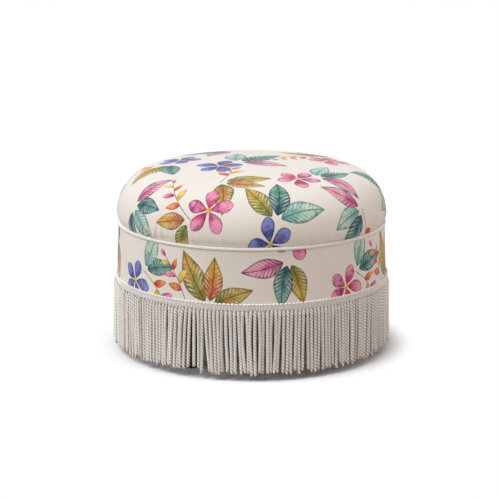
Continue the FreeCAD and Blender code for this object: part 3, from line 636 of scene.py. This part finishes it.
# Each spray: distance from the middle, turn round it, way it points, size, leaves, flower, buds.
SEAT_SPRAYS = (
    (40, 200, 30, 112, MIXED, BLUE, None),
    (185, 20, 100, 104, WARM, PINK, BUDS),
    (190, 92, 160, 110, COOL, None, BUDS),
    (180, 165, 235, 104, (OLIVE, TEAL), BLUE, BUDS),
    (195, 238, 320, 108, WARM, None, BUDS),
    (190, 305, 20, 104, MIXED, PINK, None),
    (322, 350, 250, 108, (TEAL, MINT, TEAL), BLUE, BUDS),
    (325, 38, 130, 112, (OLIVE, AUTUMN), PINK, BUDS),
    (320, 75, 20, 104, MIXED, None, BUDS),
    (322, 118, 200, 108, (TEAL, OLIVE), BLUE, None),
    (325, 158, 60, 110, WARM, PINK, BUDS),
    (318, 198, 280, 104, COOL, None, None),
    (322, 232, 175, 106, (AUTUMN, OLIVE), PINK, BUDS),
    (322, 268, 70, 112, (MINT, TEAL, OLIVE), BLUE, None),
    (320, 312, 225, 108, (ROSE, MINT, TEAL), None, BUDS),
)
for away, round_turn, turn, size, leaves, flower, buds in SEAT_SPRAYS:
    middle_x, middle_y = Design.ahead(0, 0, round_turn, away)
    seat_design.spray(middle_x, middle_y, turn, size, leaves, flower, buds)
seat_design.lay_on(seat, flat_x, flat_y)
seat.data.materials.append(printed_cloth("printed cloth, seat"))

# %% [markdown]
# ## The side band
# A strip of the same cloth goes round the drum, turned under at the top beneath the rope and
# pulled round the bottom edge. It is one thin sheet: an outer face, the turn at the bottom, the
# hem, and the inner face a cloth's thickness in.

# %% Side band
BAND_COLUMNS = 720
BAND_OUTER = np.concatenate([
    line((299.0, 281.3), (299.8, 280.6), 2),
    line((299.85, 279.2), (304.5, 148.6), 39),
    arc((296.5, 148.6), 8.0, 0.0, -90.0, 9)[1:],
    line((296.5, 140.6), (272.0, 140.6), 6)[1:],
])
BAND_INNER = np.concatenate([
    line((272.0, 141.8), (296.5, 141.8), 3),
    arc((296.5, 148.6), 6.8, -90.0, 0.0, 7)[1:],
    line((303.3, 148.6), (298.6, 280.1), 16)[1:],
    [(293.2, 280.1), (293.2, 266.8), (292.05, 266.8), (292.05, 281.3)],
])
BAND_RADIUS = 302.4
BAND_TOP = 281.2
PUCKER = 0.22
BAND_AROUND = FULL_TURN * BAND_RADIUS
band_turn = angles(BAND_COLUMNS)[None]
band_height = BAND_OUTER[:, 1:]
from_top = BAND_TOP - band_height
middle = np.clip(from_top / 20.0, 0, 1) * np.clip((band_height - 150.0) / 20.0, 0, 1)
swell = middle * (0.35 * np.sin(5 * band_turn + 1.0) + 0.25 * np.sin(11 * band_turn + band_height / 30.0))
pucker = gathers(band_turn, from_top, seed=8) * PUCKER * np.clip(from_top / 3.0, 0, 1)
inner_radius = np.broadcast_to(BAND_INNER[:, :1], (len(BAND_INNER), BAND_COLUMNS))
band_radius = np.concatenate([BAND_OUTER[:, :1] + swell + pucker, inner_radius])
band_profile = np.concatenate([BAND_OUTER, BAND_INNER])
band_rings = round_axis(band_radius, band_profile[:, 1:], BAND_COLUMNS)


def strip_place(row, column):
    """Where a point of the band lay on the flat strip: along it from the seam at the back."""
    turn = (column / BAND_COLUMNS * FULL_TURN + FULL_TURN / 4) % FULL_TURN - np.pi
    return turn * BAND_RADIUS * MM, band_profile[row % len(band_profile), 1] * MM


band = skin("side_band", band_rings, ("side_cover",), wrap=True, uv=strip_place)

# %% Band design
rows, columns = np.divmod(np.arange(len(band_profile) * BAND_COLUMNS), BAND_COLUMNS)
strip_x = columns / BAND_COLUMNS * BAND_AROUND
strip_y = band_profile[rows, 1]
band_design = Design(23)
BAND_SPRAYS = 11
for k in range(BAND_SPRAYS):
    start = (k + 0.35) * BAND_AROUND / BAND_SPRAYS
    if k % 3 == 0:
        band_design.spray(start, 214, 40, 96, (TEAL, MINT), (BLUE, PINK)[k // 3 % 2], BUDS)
    elif k % 3 == 1:
        band_design.spray(start, 158, 74, 112, WARM)
        band_design.twig(start - 48, 150, 104, 116, BUDS, 0.25)
    else:
        band_design.spray(start, 262, 250, 104, (ROSE, TEAL, OLIVE), (PINK, BLUE)[k // 3 % 2])
band_design.lay_on(band, strip_x, strip_y, BAND_AROUND)
band.data.materials.append(printed_cloth("printed cloth, band", seam=True))

# %% [markdown]
# ## The rope along the seam
# Three strands are laid round each other and the rope is sewn into the seam. A rope could be a
# tube with a bump pattern, but its edge would stay straight. Here each strand is a real tube that
# winds round the rope's own circle and meets its start again.

# %% Rope
ROPE_RING = 298.0
ROPE_HEIGHT = 285.5
STRANDS = 3
STRAND_OFFSET = 2.3
STRAND_SHAPE = (1.95, 2.05)
ROPE_TURNS = 138
ROWS_IN_A_TURN = 11
ROPE_ROWS = ROPE_TURNS * ROWS_IN_A_TURN
STRAND_SIDES = 8


def tubes(path, outward, shape, sides, scale=1.0):
    """Flattened rings round paths: outward is a unit direction square to each path, and the ring
    turns from it towards the direction square to both. shape is its half breadth in those two
    directions, for yarn that is pressed against its neighbour."""
    along = np.gradient(path, axis=-2)
    beside = np.cross(along, outward)
    beside /= np.linalg.norm(beside, axis=-1, keepdims=True)
    turn = angles(sides)[:, None]
    scale = np.broadcast_to(scale, path.shape[:-1])[..., None, None]
    spokes = shape[0] * np.cos(turn) * outward[..., None, :] + shape[1] * np.sin(turn) * beside[..., None, :]
    return path[..., None, :] + scale * spokes


def rope_path(count):
    """Strand paths: round the seam's circle, offset in a direction that winds round the rope."""
    turn = angles(count)[None]
    wind = ROPE_TURNS * turn + np.arange(STRANDS)[:, None] * FULL_TURN / STRANDS
    radial = from_axis(turn)
    outward = np.cos(wind)[..., None] * radial + np.sin(wind)[..., None] * UPRIGHT
    centre = radial * ROPE_RING + UPRIGHT * ROPE_HEIGHT
    return centre + STRAND_OFFSET * outward, outward


# A row from the other end goes on at each side, so that a strand's direction runs on past its start.
path, outward = (np.concatenate([part[:, -1:], part, part[:, :1]], 1) for part in rope_path(ROPE_ROWS))
rope_rings = tubes(path, outward, STRAND_SHAPE, STRAND_SIDES)[:, 1:-1]
rope_length = FULL_TURN * ROPE_RING * MM


def yarn_place(length, rows, sides):
    """Texture places on a strand: round it from 0 to 1, and along it in metres."""
    return lambda row, column: (column / sides, row / rows * length)


rope = skin(
    "seam_rope", rope_rings, ("rope_piping",), wrap=True,
    uv=yarn_place(rope_length, ROPE_ROWS, STRAND_SIDES),
)

# %% [markdown]
# ## Yarn
# Rope and fringe are spun yarn: many fine filaments that lie along each ply at a slant, soft in
# shine, with painted shade darkening each ply's inner side in the grooves, and a little different
# from cord to cord. The pattern follows each ply through its own texture places.

# %% Yarn finish
BROWNER = srgb(190, 172, 150)


def yarn(name, light, dark, groove, varied=False):
    """Spun yarn. The groove colour is painted on each ply's inner side as the shade where the plies
    meet. With varied each cord takes on a browner colour by its own tone.
    """
    sheen = {"Sheen_Weight": 0.2, "Sheen_Roughness": 0.35}
    spun = Finish(name, Roughness=0.62, Specular_IOR_Level=0.35, **sheen)
    place = spun.uv_place()
    around, along, _ = spun.parts(place)
    fibres = (around * 9.0 + along * 900.0).wave()
    hairs = spun.noise(1.0, 3.0, spun.stretched((14.0, 900.0, 1.0), place), 0.65)
    patch = spun.noise(38.0, 2.0)
    tone = spun.smooth(fibres * 0.5 + hairs * 1.3 + (patch - 0.5) * 0.6, -0.2, 1.5)
    colour = spun.mix(dark, light, tone)
    if varied:
        colour = spun.mix(colour, BROWNER, spun.attribute("tone", 2))
    # Painted shade: each ply turns to the groove colour on its inner side, where it meets the other ply.
    painted_groove_shade = 1.0 - abs(around - 0.5) * 2.0
    colour = spun.mix(colour, groove, spun.smooth(painted_groove_shade, 0.12, 0.6))
    return spun.finished(colour, fibres * 0.5 + hairs, 0.00015, 0.7)


# The rope's third colour is the painted shade in its grooves.
rope.data.materials.append(yarn("rope yarn", srgb(254, 253, 250), srgb(250, 247, 241), srgb(122, 109, 90)))

# %% [markdown]
# ## The fringe's header
# The fringe hangs from a narrow woven braid: upright ribs, with a bead of cord at the top of each
# hanging cord. It is one closed band whose face is pushed out by a rib wave and whose top edge
# rises and falls with the beads.

# %% Header braid
CORDS = 220
RIBS = 5 * CORDS // 2
HEADER_COLUMNS = 4 * RIBS
RIB_DEPTH = 0.5
BRAID_RADIUS = 0.3075
BRAID_THREAD = 0.0011
BEADS_START = (0.1645, 0.1655)
header_turn = angles(HEADER_COLUMNS)[None]
bead = np.abs(np.cos(header_turn * CORDS / 2)) ** 0.8
rib = np.cos(header_turn * RIBS)
# Each row: radius, height, how much of the rib wave, the bead's lift and the bead's push it takes.
HEADER_ROWS = np.array([
    (307.20, 153.9, 0.3, 0.0, 0.0),
    (307.65, 154.8, 0.6, 0.0, 0.0),
    (307.80, 157.0, 1.0, 0.0, 0.0),
    (307.70, 160.0, 1.0, 0.0, 0.0),
    (307.50, 163.0, 1.0, 0.0, 0.0),
    (307.20, 164.6, 0.6, 0.0, 0.0),
    (306.80, 165.2, 0.2, 0.3, 0.2),
    (307.00, 166.0, 0.0, 0.8, 1.4),
    (307.10, 167.1, 0.0, 1.3, 2.0),
    (306.60, 168.2, 0.0, 2.0, 1.6),
    (305.70, 168.8, 0.0, 2.4, 0.6),
    (304.90, 168.6, 0.0, 2.4, 0.0),
    (304.15, 167.4, 0.0, 1.0, 0.0),
    (304.05, 165.0, 0.0, 0.0, 0.0),
    (304.45, 154.4, 0.0, 0.0, 0.0),
    (304.90, 153.9, 0.0, 0.0, 0.0),
])
header_radius = HEADER_ROWS[:, :1] + HEADER_ROWS[:, 2:3] * RIB_DEPTH * rib + HEADER_ROWS[:, 4:5] * bead
header_height = HEADER_ROWS[:, 1:2] + HEADER_ROWS[:, 3:4] * (bead - 0.5)
header_rings = round_axis(header_radius, header_height, HEADER_COLUMNS)
header_around = FULL_TURN * BRAID_RADIUS


def header_place(row, column):
    """Texture places on the braid: along it and up it, in metres."""
    return column / HEADER_COLUMNS * header_around, HEADER_ROWS[row % len(HEADER_ROWS), 1] * MM


header = skin(
    "fringe_braid", header_rings, ("fringe_header",), wrap=True, uv=header_place
)


def braid_finish():
    braid = Finish("fringe braid", Roughness=0.8, Sheen_Weight=0.2, Specular_IOR_Level=0.25)
    flat = braid.uv_place()
    along, up, _ = braid.parts(flat)
    threads = up.wave(BRAID_THREAD)
    hairs = braid.noise(1.0, 3.0, braid.stretched((900.0, 2600.0, 1.0), flat), 0.6)
    patch = braid.noise(30.0)
    tone = braid.smooth(threads * 0.3 + hairs + (patch - 0.5) * 0.5, -0.1, 1.2)
    colour = braid.mix(srgb(236, 232, 225), srgb(254, 253, 250), tone)
    # Painted shade: the braid darkens in the grooves between its ribs and in the gaps between the beads at
    # its top.
    groove = (along * (FULL_TURN * RIBS / header_around) + math.pi / 2).sine()
    below_beads = 1.0 - braid.smooth(up, *BEADS_START)
    between = 1.0 - abs((along * (math.pi * CORDS / header_around) + math.pi / 2).sine())
    dark = braid.smooth(groove * -1.0, -0.1, 0.9) * below_beads
    dark = dark.most(braid.smooth(between, 0.45, 0.95) * (1.0 - below_beads))
    colour = braid.mix(colour, srgb(150, 142, 131), dark * 0.65)
    return braid.finished(colour, threads * 0.6 + hairs, 0.0002, 0.7)


header.data.materials.append(braid_finish())

# %% [markdown]
# ## The bullion cords
# Each hanging cord is one thick yarn folded in half and twisted on itself, so it shows two plies
# and ends in a small loop. The path goes down as one ply, turns over at the loop and comes back
# up as the other. Hanging cords are never even: they lean together in small groups and leave
# darker gaps, and their ends are a few millimetres up or down. Before the front left leg they
# part a little, so that the leg shows.

# %% Bullion cords
CORD_RING = 308.5
CORD_TOP = 154.3
CORD_END = 14.6
CORD_FALL = CORD_TOP - CORD_END
PLY_OFFSET = 1.75
PLY_SHAPE = (1.95, 2.35)
CORD_PITCH = 14.0
PLY_LENGTH = 0.3
CLOSEST = 6.7
ENDS_VARY = (-3.5, 5.5)
# The cords part at this share of the turn, by so many millimetres aside and upward.
PARTING = 0.6483
PARTED = 6.5
RAISED = 6.5
BROWN_CORDS = 12
SPREADING_ROUNDS = 60
PLY_SIDES = 6
ROWS_DOWN = 88
ROWS_LOOP = 5
FRINGE_PARTS = 4


def leaning(chance, count, around):
    """How far each cord's end is from straight below its start: groups of two to six cords draw
    together, they part where the front left leg shows, and neighbours never come closer than
    their own thickness."""
    pitch = around / count
    start = np.arange(count) * pitch
    end = start.copy()
    first = 0
    while first < count:
        size = min(int(chance.integers(2, 7)), count - first)
        group = slice(first, first + size)
        middle = start[group].mean() + chance.uniform(-3.0, 3.0)
        closeness = chance.uniform(0.76, 0.98)
        end[group] = middle + (start[group] - start[group].mean()) * closeness
        first += size
    end += 4.0 * np.sin(9 * start / around * FULL_TURN)
    from_leg = start + pitch / 2 - PARTING * around
    end += PARTED * np.tanh(from_leg / 11.0) * np.exp(-((from_leg / 48.0) ** 2))
    for _ in range(SPREADING_ROUNDS):
        gap = np.diff(np.concatenate([end, end[:1] + around]))
        short = np.clip(CLOSEST - gap, 0, None) / 2
        end -= short
        end += np.roll(short, 1)
    return end - start


def cord_paths(chance):
    """Ply paths for all cords: along an upright axis that leans and bows, the ply winds round it
    at a small distance, folds over in a half circle at the end and winds back up. Where the cord
    is woven into the header it is pressed thin. Gives paths, outward directions and thickness."""
    turn = (np.arange(CORDS) + 0.5) * FULL_TURN / CORDS
    lean = leaning(chance, CORDS, FULL_TURN * CORD_RING)[:, None]
    low = CORD_END + chance.uniform(*ENDS_VARY, CORDS)[:, None] + PLY_OFFSET + PLY_SHAPE[0]
    from_leg = turn[:, None] / FULL_TURN - PARTING
    low += RAISED * np.exp(-((from_leg * 130.0) ** 2))
    ease = chance.uniform(0.8, 1.9, CORDS)[:, None]
    ease = np.where(abs(from_leg) < 0.012, 0.6, ease)
    bow = chance.normal(0, 0.9, CORDS)[:, None]
    swing = chance.normal(0, 1.1, CORDS)[:, None]
    phase = np.cumsum(chance.normal(0, 0.9, CORDS))[:, None]
    down = np.linspace(0, 1, ROWS_DOWN)[None]
    settle = 1 - np.clip((down - 0.93) / 0.07, 0, 1) ** 2 * 0.5
    depth = np.concatenate([down, np.ones((1, ROWS_LOOP)), down[:, ::-1]], 1)
    aside = lean * depth**ease + bow * np.sin(np.pi * depth) + 0.3 * np.sin(6 * depth + phase) * depth
    woven = np.clip(1 - depth * CORD_FALL / 9.0, 0, 1) ** 2
    out = 1.3 * depth + swing * depth - 2.2 * woven
    height = CORD_TOP + (low - CORD_TOP) * depth
    step = FULL_TURN * CORD_FALL / CORD_PITCH / ROWS_DOWN
    wind = phase - step * np.cumsum(np.concatenate([[[0]], settle[:, 1:]], 1), 1)
    fold = np.linspace(0, np.pi, ROWS_LOOP + 2)[1:-1][None] + 0 * phase
    still = 0 * phase
    wound = np.concatenate([wind, wind[:, -1:] + 0 * fold, wind[:, ::-1]], 1)
    folded = np.concatenate([still + 0 * down, fold, still + np.pi + 0 * down], 1)
    radial = from_axis(turn)[:, None]
    tangent = np.cross(UPRIGHT, radial)
    across = np.cos(wound)[..., None] * tangent + np.sin(wound)[..., None] * radial
    outward = np.cos(folded)[..., None] * across - np.sin(folded)[..., None] * UPRIGHT
    axis = (CORD_RING + out)[..., None] * radial + aside[..., None] * tangent + height[..., None] * UPRIGHT
    thickness = 1 - 0.4 * woven + 0 * phase
    return axis + (PLY_OFFSET * thickness)[..., None] * outward, outward, thickness


chance = np.random.default_rng(3)
ply_path, ply_outward, thickness = cord_paths(chance)
cord_rings = tubes(ply_path, ply_outward, PLY_SHAPE, PLY_SIDES, thickness)
cord_rows = cord_rings.shape[1]
tones = np.clip(chance.normal(0.06, 0.08, CORDS), 0, 0.3)
tones[chance.choice(CORDS, BROWN_CORDS, replace=False)] = chance.uniform(0.35, 0.7, BROWN_CORDS)
# The third colour is the painted shade in the groove between each cord's two plies.
cord_finish = yarn(
    "bullion yarn", srgb(254, 253, 250), srgb(250, 247, 242), srgb(186, 179, 170), varied=True
)
for part, members in enumerate(np.array_split(np.arange(CORDS), FRINGE_PARTS)):
    cords = skin(
        f"fringe_cords_{part + 1}", cord_rings[members], ("fringe_cords",),
        uv=yarn_place(PLY_LENGTH, cord_rows, PLY_SIDES),
    )
    per_cord = len(cords.data.vertices) // len(members)
    tone = cords.data.attributes.new("tone", "FLOAT", "POINT")
    tone.data.foreach_set("value", np.repeat(tones[members], per_cord).astype(np.float32))
    cords.data.materials.append(cord_finish)

# %% [markdown]
# ## Under the cloth
# Behind the band lies a ring of wadding, the rope is sewn to a tape that is tacked down with the
# cover, and thin black cloth closes the bottom. They are plain closed outlines carried round the
# axis, as thick as the real thing.

# %% Padding, tape and dust cover
HIDDEN_COLUMNS = 240
PADDING_OUTLINE = np.concatenate([
    [(290.1, 260.3), (290.1, 141.9)],
    line((292.0, 141.9), (296.5, 141.9), 3),
    arc((296.5, 148.6), 6.7, -90.0, 0.0, 7)[1:],
    line((303.2, 148.6), (298.5, 279.9), 12)[1:],
    [(295.2, 279.9), (295.2, 260.3)],
])
TAPE_OUTLINE = np.array([
    (291.25, 267.5), (291.95, 267.5), (291.95, 276.0), (291.95, 285.1), (293.9, 285.1), (293.9, 285.9),
    (291.95, 285.9), (291.25, 285.2), (291.25, 276.0),
])
DUST_OUTLINE = np.concatenate([
    line((3.0, 141.8), (270.7, 141.8), 14),
    [(271.9, 140.55), (284.0, 140.55), (284.0, 139.8), (271.6, 139.8)],
    line((270.4, 141.0), (3.0, 141.0), 14),
])


def turned(name, outline, stands_for, wrap=True):
    """A closed ring or disc: an outline of radius and height, carried round the axis. Its texture
    places are metres round the drum and metres along the outline."""
    steps = np.linalg.norm(np.diff(outline, axis=0, append=outline[:1]), axis=1)
    along = np.concatenate([[0], np.cumsum(steps)]) * MM
    rings = round_axis(outline[:, :1], outline[:, 1:], HIDDEN_COLUMNS)

    def places(row, column):
        return column / HIDDEN_COLUMNS * BAND_AROUND * MM, along[row]

    return skin(name, rings, stands_for, wrap=wrap, uv=places)


padding = turned("side_padding", PADDING_OUTLINE, ("side_wadding",))
tape = turned("rope_tape", TAPE_OUTLINE, ("piping_lip",))
dust_cover = turned("dust_cloth", DUST_OUTLINE, ("dust_cover",), wrap=False)

# %% [markdown]
# ## Cloth, tape and wadding finishes
# The dust cover is bonded cloth with no weave, only a faint grid of bonding points. The tape is a
# cotton herringbone, and the wadding is loose fibre that catches light unevenly.

# %% Hidden cloth finishes
BONDING_POINTS = 0.0025


def bonded_cloth():
    cloth = Finish("black dust cloth", Roughness=0.9, Sheen_Weight=0.15, Specular_IOR_Level=0.2)
    x, y, _ = cloth.parts(cloth.place())
    points = x.wave(BONDING_POINTS) * y.wave(BONDING_POINTS)
    fibre = cloth.noise(900.0, 3.0) + cloth.noise(18.0, 2.0) * 0.6
    colour = cloth.mix(srgb(22, 22, 23), srgb(52, 51, 50), cloth.smooth(fibre, 0.5, 1.2))
    return cloth.finished(colour, points + fibre, 0.0001, 0.6)


def cotton_tape():
    cloth = Finish("cotton tape", Roughness=0.85, Specular_IOR_Level=0.25)
    along, up, _ = cloth.parts(cloth.uv_place())
    zigzag = abs((up * 160.0).fraction() - 0.5) * 2.0
    ribs = (along * 900.0 + zigzag * 3.0).wave()
    colour = cloth.mix(srgb(206, 200, 188), srgb(232, 228, 220), cloth.smooth(ribs, -1.0, 1.0))
    return cloth.finished(colour, ribs, 0.0001, 0.6)


def loose_fibre():
    fluff = Finish("wadding", Roughness=0.95, Sheen_Weight=0.3, Specular_IOR_Level=0.15)
    tufts = fluff.noise(160.0, 5.0, None, 0.7) + fluff.noise(700.0, 2.0) * 0.4
    colour = fluff.mix(srgb(222, 222, 218), srgb(246, 246, 242), fluff.smooth(tufts, 0.4, 1.0))
    return fluff.finished(colour, tufts, 0.0015, 0.8)


dust_cover.data.materials.append(bonded_cloth())
tape.data.materials.append(cotton_tape())
padding.data.materials.append(loose_fibre())

# %% [markdown]
# ## The band's cut
# The band is cut as a strip as long as the drum is round plus the seam, and as wide as its face,
# its hem and its turned-in top.

# %% [markdown]
# ## The hard parts' finishes
# The legs are turned wood under black lacquer. The drum inside is plywood, pine and hardboard,
# held by zinc-plated screws and wire staples. Wood is a grain that runs along one axis, with
# growth lines bent by a slow noise; metal is a fine brushed pattern with dull spots.

# %% Wood
def wood(name, light, dark, grain, pitch, roughness, plies=0.0):
    """grain is the stretch along the three axes, small where the grain runs; pitch is the growth
    lines' distance in metres; plies adds glued layers of that thickness."""
    board = Finish(name, Roughness=roughness, Specular_IOR_Level=0.4)
    along = board.stretched(grain)
    bend = board.noise(6.0, 2.0, along)
    x, y, _ = board.parts(along)
    lines = (x + y + bend * 0.05).wave(pitch)
    pores = board.noise(420.0, 4.0, along, 0.7)
    tone = board.smooth(lines * 0.25 + pores + (bend - 0.5) * 0.8, 0.1, 1.0)
    if plies:
        _, _, up = board.parts(board.place())
        tone = tone * (up.wave(plies) * 0.25 + 0.75)
    colour = board.mix(dark, light, tone)
    height = pores + lines * 0.2
    return board.finished(colour, height, 0.0001, 0.5, roughness + (pores - 0.5) * 0.2)


def black_lacquer():
    """Black lacquer over turned wood: the grain shows faintly, the foot is a little scuffed."""
    leg = Finish("black lacquered wood", Coat_Weight=0.35, Coat_Roughness=0.25, Specular_IOR_Level=0.4)
    along = leg.stretched((1.0, 1.0, 0.08))
    grain = leg.noise(320.0, 4.0, along, 0.65)
    _, _, up = leg.parts(leg.place())
    scuffs = leg.smooth(leg.noise(110.0, 5.0, None, 0.7) - up * 4.0, 0.5, 0.62)
    colour = leg.mix(srgb(14, 13, 13), srgb(34, 30, 27), leg.smooth(grain, 0.35, 0.75))
    colour = leg.mix(colour, srgb(96, 78, 60), scuffs * 0.7)
    return leg.finished(colour, grain, 0.0002, 0.4, 0.34 + grain * 0.16 + scuffs * 0.3)


# %% Metal, card, nylon
def bright_metal(name, light, dark, grain):
    metal = Finish(name, Metallic=1.0)
    brushed = metal.noise(900.0, 3.0, metal.stretched(grain), 0.6)
    spots = metal.smooth(metal.noise(220.0, 4.0), 0.5, 0.75)
    colour = metal.mix(metal.mix(dark, light, metal.smooth(brushed, 0.2, 0.8)), dark, spots * 0.6)
    return metal.finished(colour, brushed, 0.00004, 0.5, 0.28 + brushed * 0.14 + spots * 0.15)


def pressed_fibre(name, light, dark, scale):
    board = Finish(name, Roughness=0.85, Specular_IOR_Level=0.3)
    fibre = board.noise(scale, 5.0, None, 0.75) + board.noise(scale / 9, 2.0) * 0.5
    colour = board.mix(dark, light, board.smooth(fibre, 0.35, 1.1))
    return board.finished(colour, fibre, 0.0002, 0.5)


def moulded_nylon():
    glide = Finish("moulded nylon", Specular_IOR_Level=0.4)
    grainy = glide.noise(1400.0, 2.0)
    rubbed = glide.smooth(glide.noise(160.0, 4.0), 0.48, 0.7)
    colour = glide.mix(srgb(44, 44, 45), srgb(84, 83, 81), rubbed * 0.6)
    return glide.finished(colour, grainy, 0.00006, 0.6, 0.45 + grainy * 0.2)


ZINC_PARTS = ("base_board_screws", "top_board_screws", "hanger_bolts", "tee_nuts", "glide_nails")
zinc = bright_metal("zinc screws", srgb(216, 214, 200), srgb(150, 148, 138), (1, 1, 0.1))
wire = bright_metal("staple wire", srgb(206, 206, 208), srgb(140, 140, 142), (1, 1, 1))
plywood = wood(
    "plywood", srgb(216, 180, 128), srgb(168, 124, 76), (0.1, 1.0, 1.0), 0.012, 0.65, plies=0.0026
)
# A part takes the first finish whose key its name starts with.
FINISHES = {
    "leg_block": wood("pine block", srgb(228, 196, 146), srgb(186, 142, 90), (1.0, 0.1, 1.0), 0.006, 0.7),
    "leg_glide": moulded_nylon(),
    "leg_": black_lacquer(),
    "frame_post": wood("pine post", srgb(232, 202, 152), srgb(190, 148, 96), (1.0, 1.0, 0.08), 0.005, 0.7),
    **dict.fromkeys(ZINC_PARTS, zinc),
    **dict.fromkeys(("base_board", "top_board"), plywood),
    **dict.fromkeys(("tack_strip_staples", "dust_cover_staples"), wire),
    "side_wall": pressed_fibre("hardboard", srgb(122, 86, 56), srgb(76, 50, 32), 700.0),
    "tack_strip": pressed_fibre("tack card", srgb(176, 160, 136), srgb(136, 118, 94), 500.0),
}
dressed = 0
for name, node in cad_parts.items():
    key = next((start for start in FINISHES if name.startswith(start)), None)
    if key is None:
        continue
    for slot in node.material_slots:
        slot.material = FINISHES[key]
    dressed += 1
print("finishes on", dressed, "construction parts")

# %% [markdown]
# ## Floor and light
# The photograph has a white ground with a soft shadow close round the fringe. The floor is a pale
# grey that takes the shadow, and a hand's breadth out what the camera sees of it turns to plain
# white. The light is a broad lamp from the upper left, a weak warm one from low on the right, a
# weak cool one from above it, and a pale sky that is a little warmer and dimmer on that side.

# %% Floor and light
SKY_ABOVE = (0.31, 0.32, 0.345, 1.0)
SKY_LEFT = (0.46, 0.475, 0.495, 1.0)
SKY_RIGHT = (0.40, 0.315, 0.27, 1.0)
WHITE = (1.0, 1.0, 1.0, 1.0)
FLOOR_SIZE = 40.0
FLOOR_SEEN = (0.97, 0.97, 0.97, 1.0)
FLOOR_BOUNCE = (0.50, 0.44, 0.40, 1.0)
SHADOW_ENDS = (0.305, 0.372)
bpy.context.scene.view_settings.view_transform = "Standard"


def seen_directly(recipe):
    """1 for rays that make the picture itself: from the camera, a mirror or through glass."""
    rays = recipe.node("LightPath").socket.node.outputs
    camera_ray, glossy, through = (
        Shade(recipe, rays[name]) for name in ("Is Camera Ray", "Is Glossy Ray", "Is Transmission Ray")
    )
    return camera_ray.most(glossy).most(through)


world = bpy.data.worlds.new("studio")
bpy.context.scene.world = world
world.use_nodes = True
sky = Recipe(world.node_tree)
background = world.node_tree.nodes["Background"]
to_right, to_back, up = sky.parts(sky.node("TexCoord"))
glow = sky.mix(SKY_LEFT, SKY_RIGHT, sky.smooth(to_right - to_back * 0.6, -1.0, 0.6))
glow = sky.mix(glow, SKY_ABOVE, sky.smooth(up, 0.2, 0.8))
world.node_tree.links.new(sky.mix(glow, WHITE, seen_directly(sky)).socket, background.inputs["Color"])

half = FLOOR_SIZE / 2
floor_mesh = bpy.data.meshes.new("floor")
corners = [(-half, -half, 0), (half, -half, 0), (half, half, 0), (-half, half, 0)]
floor_mesh.from_pydata(corners, [], [(0, 1, 2, 3)])
floor = put_in_scene("floor", floor_mesh)
floor_material = bpy.data.materials.new("pale floor")
floor_material.use_nodes = True
ground = Recipe(floor_material.node_tree)
seen = seen_directly(ground)
away = ground.node("VectorMath", {"operation": "LENGTH"}, {0: ground.place()}, 1)
far = ground.smooth(away, *SHADOW_ENDS) * seen
floor_grey = ground.mix(FLOOR_BOUNCE, FLOOR_SEEN, seen)
pale = ground.node("BsdfDiffuse", {}, {"Color": floor_grey})
white = ground.node("Emission", {}, {"Color": WHITE, "Strength": 1.0})
whole = ground.node("MixShader", {}, {0: far, 1: pale, 2: white})
output = floor_material.node_tree.nodes["Material Output"]
floor_material.node_tree.links.new(whole.socket, output.inputs["Surface"])
floor_mesh.materials.append(floor_material)


def sun(name, turn, tilt, spread, strength, colour):
    """A broad lamp far away: turn from the front, tilt up from the floor and spread in degrees."""
    lamp = put_in_scene(name, bpy.data.lights.new(name, "SUN"))
    lamp.rotation_euler = direction(turn, tilt).to_track_quat("Z", "Y").to_euler()
    lamp.data.angle = math.radians(spread)
    lamp.data.energy = strength
    lamp.data.color = colour


sun("key_light", -80.0, 55.0, 45.0, 2.35, (0.98, 0.99, 1.0))
sun("fill_light", 60.0, 20.0, 60.0, 0.4, (1.0, 0.90, 0.82))
sun("top_light", 80.0, 58.0, 60.0, 0.55, (0.98, 0.99, 1.0))
print("lights set")
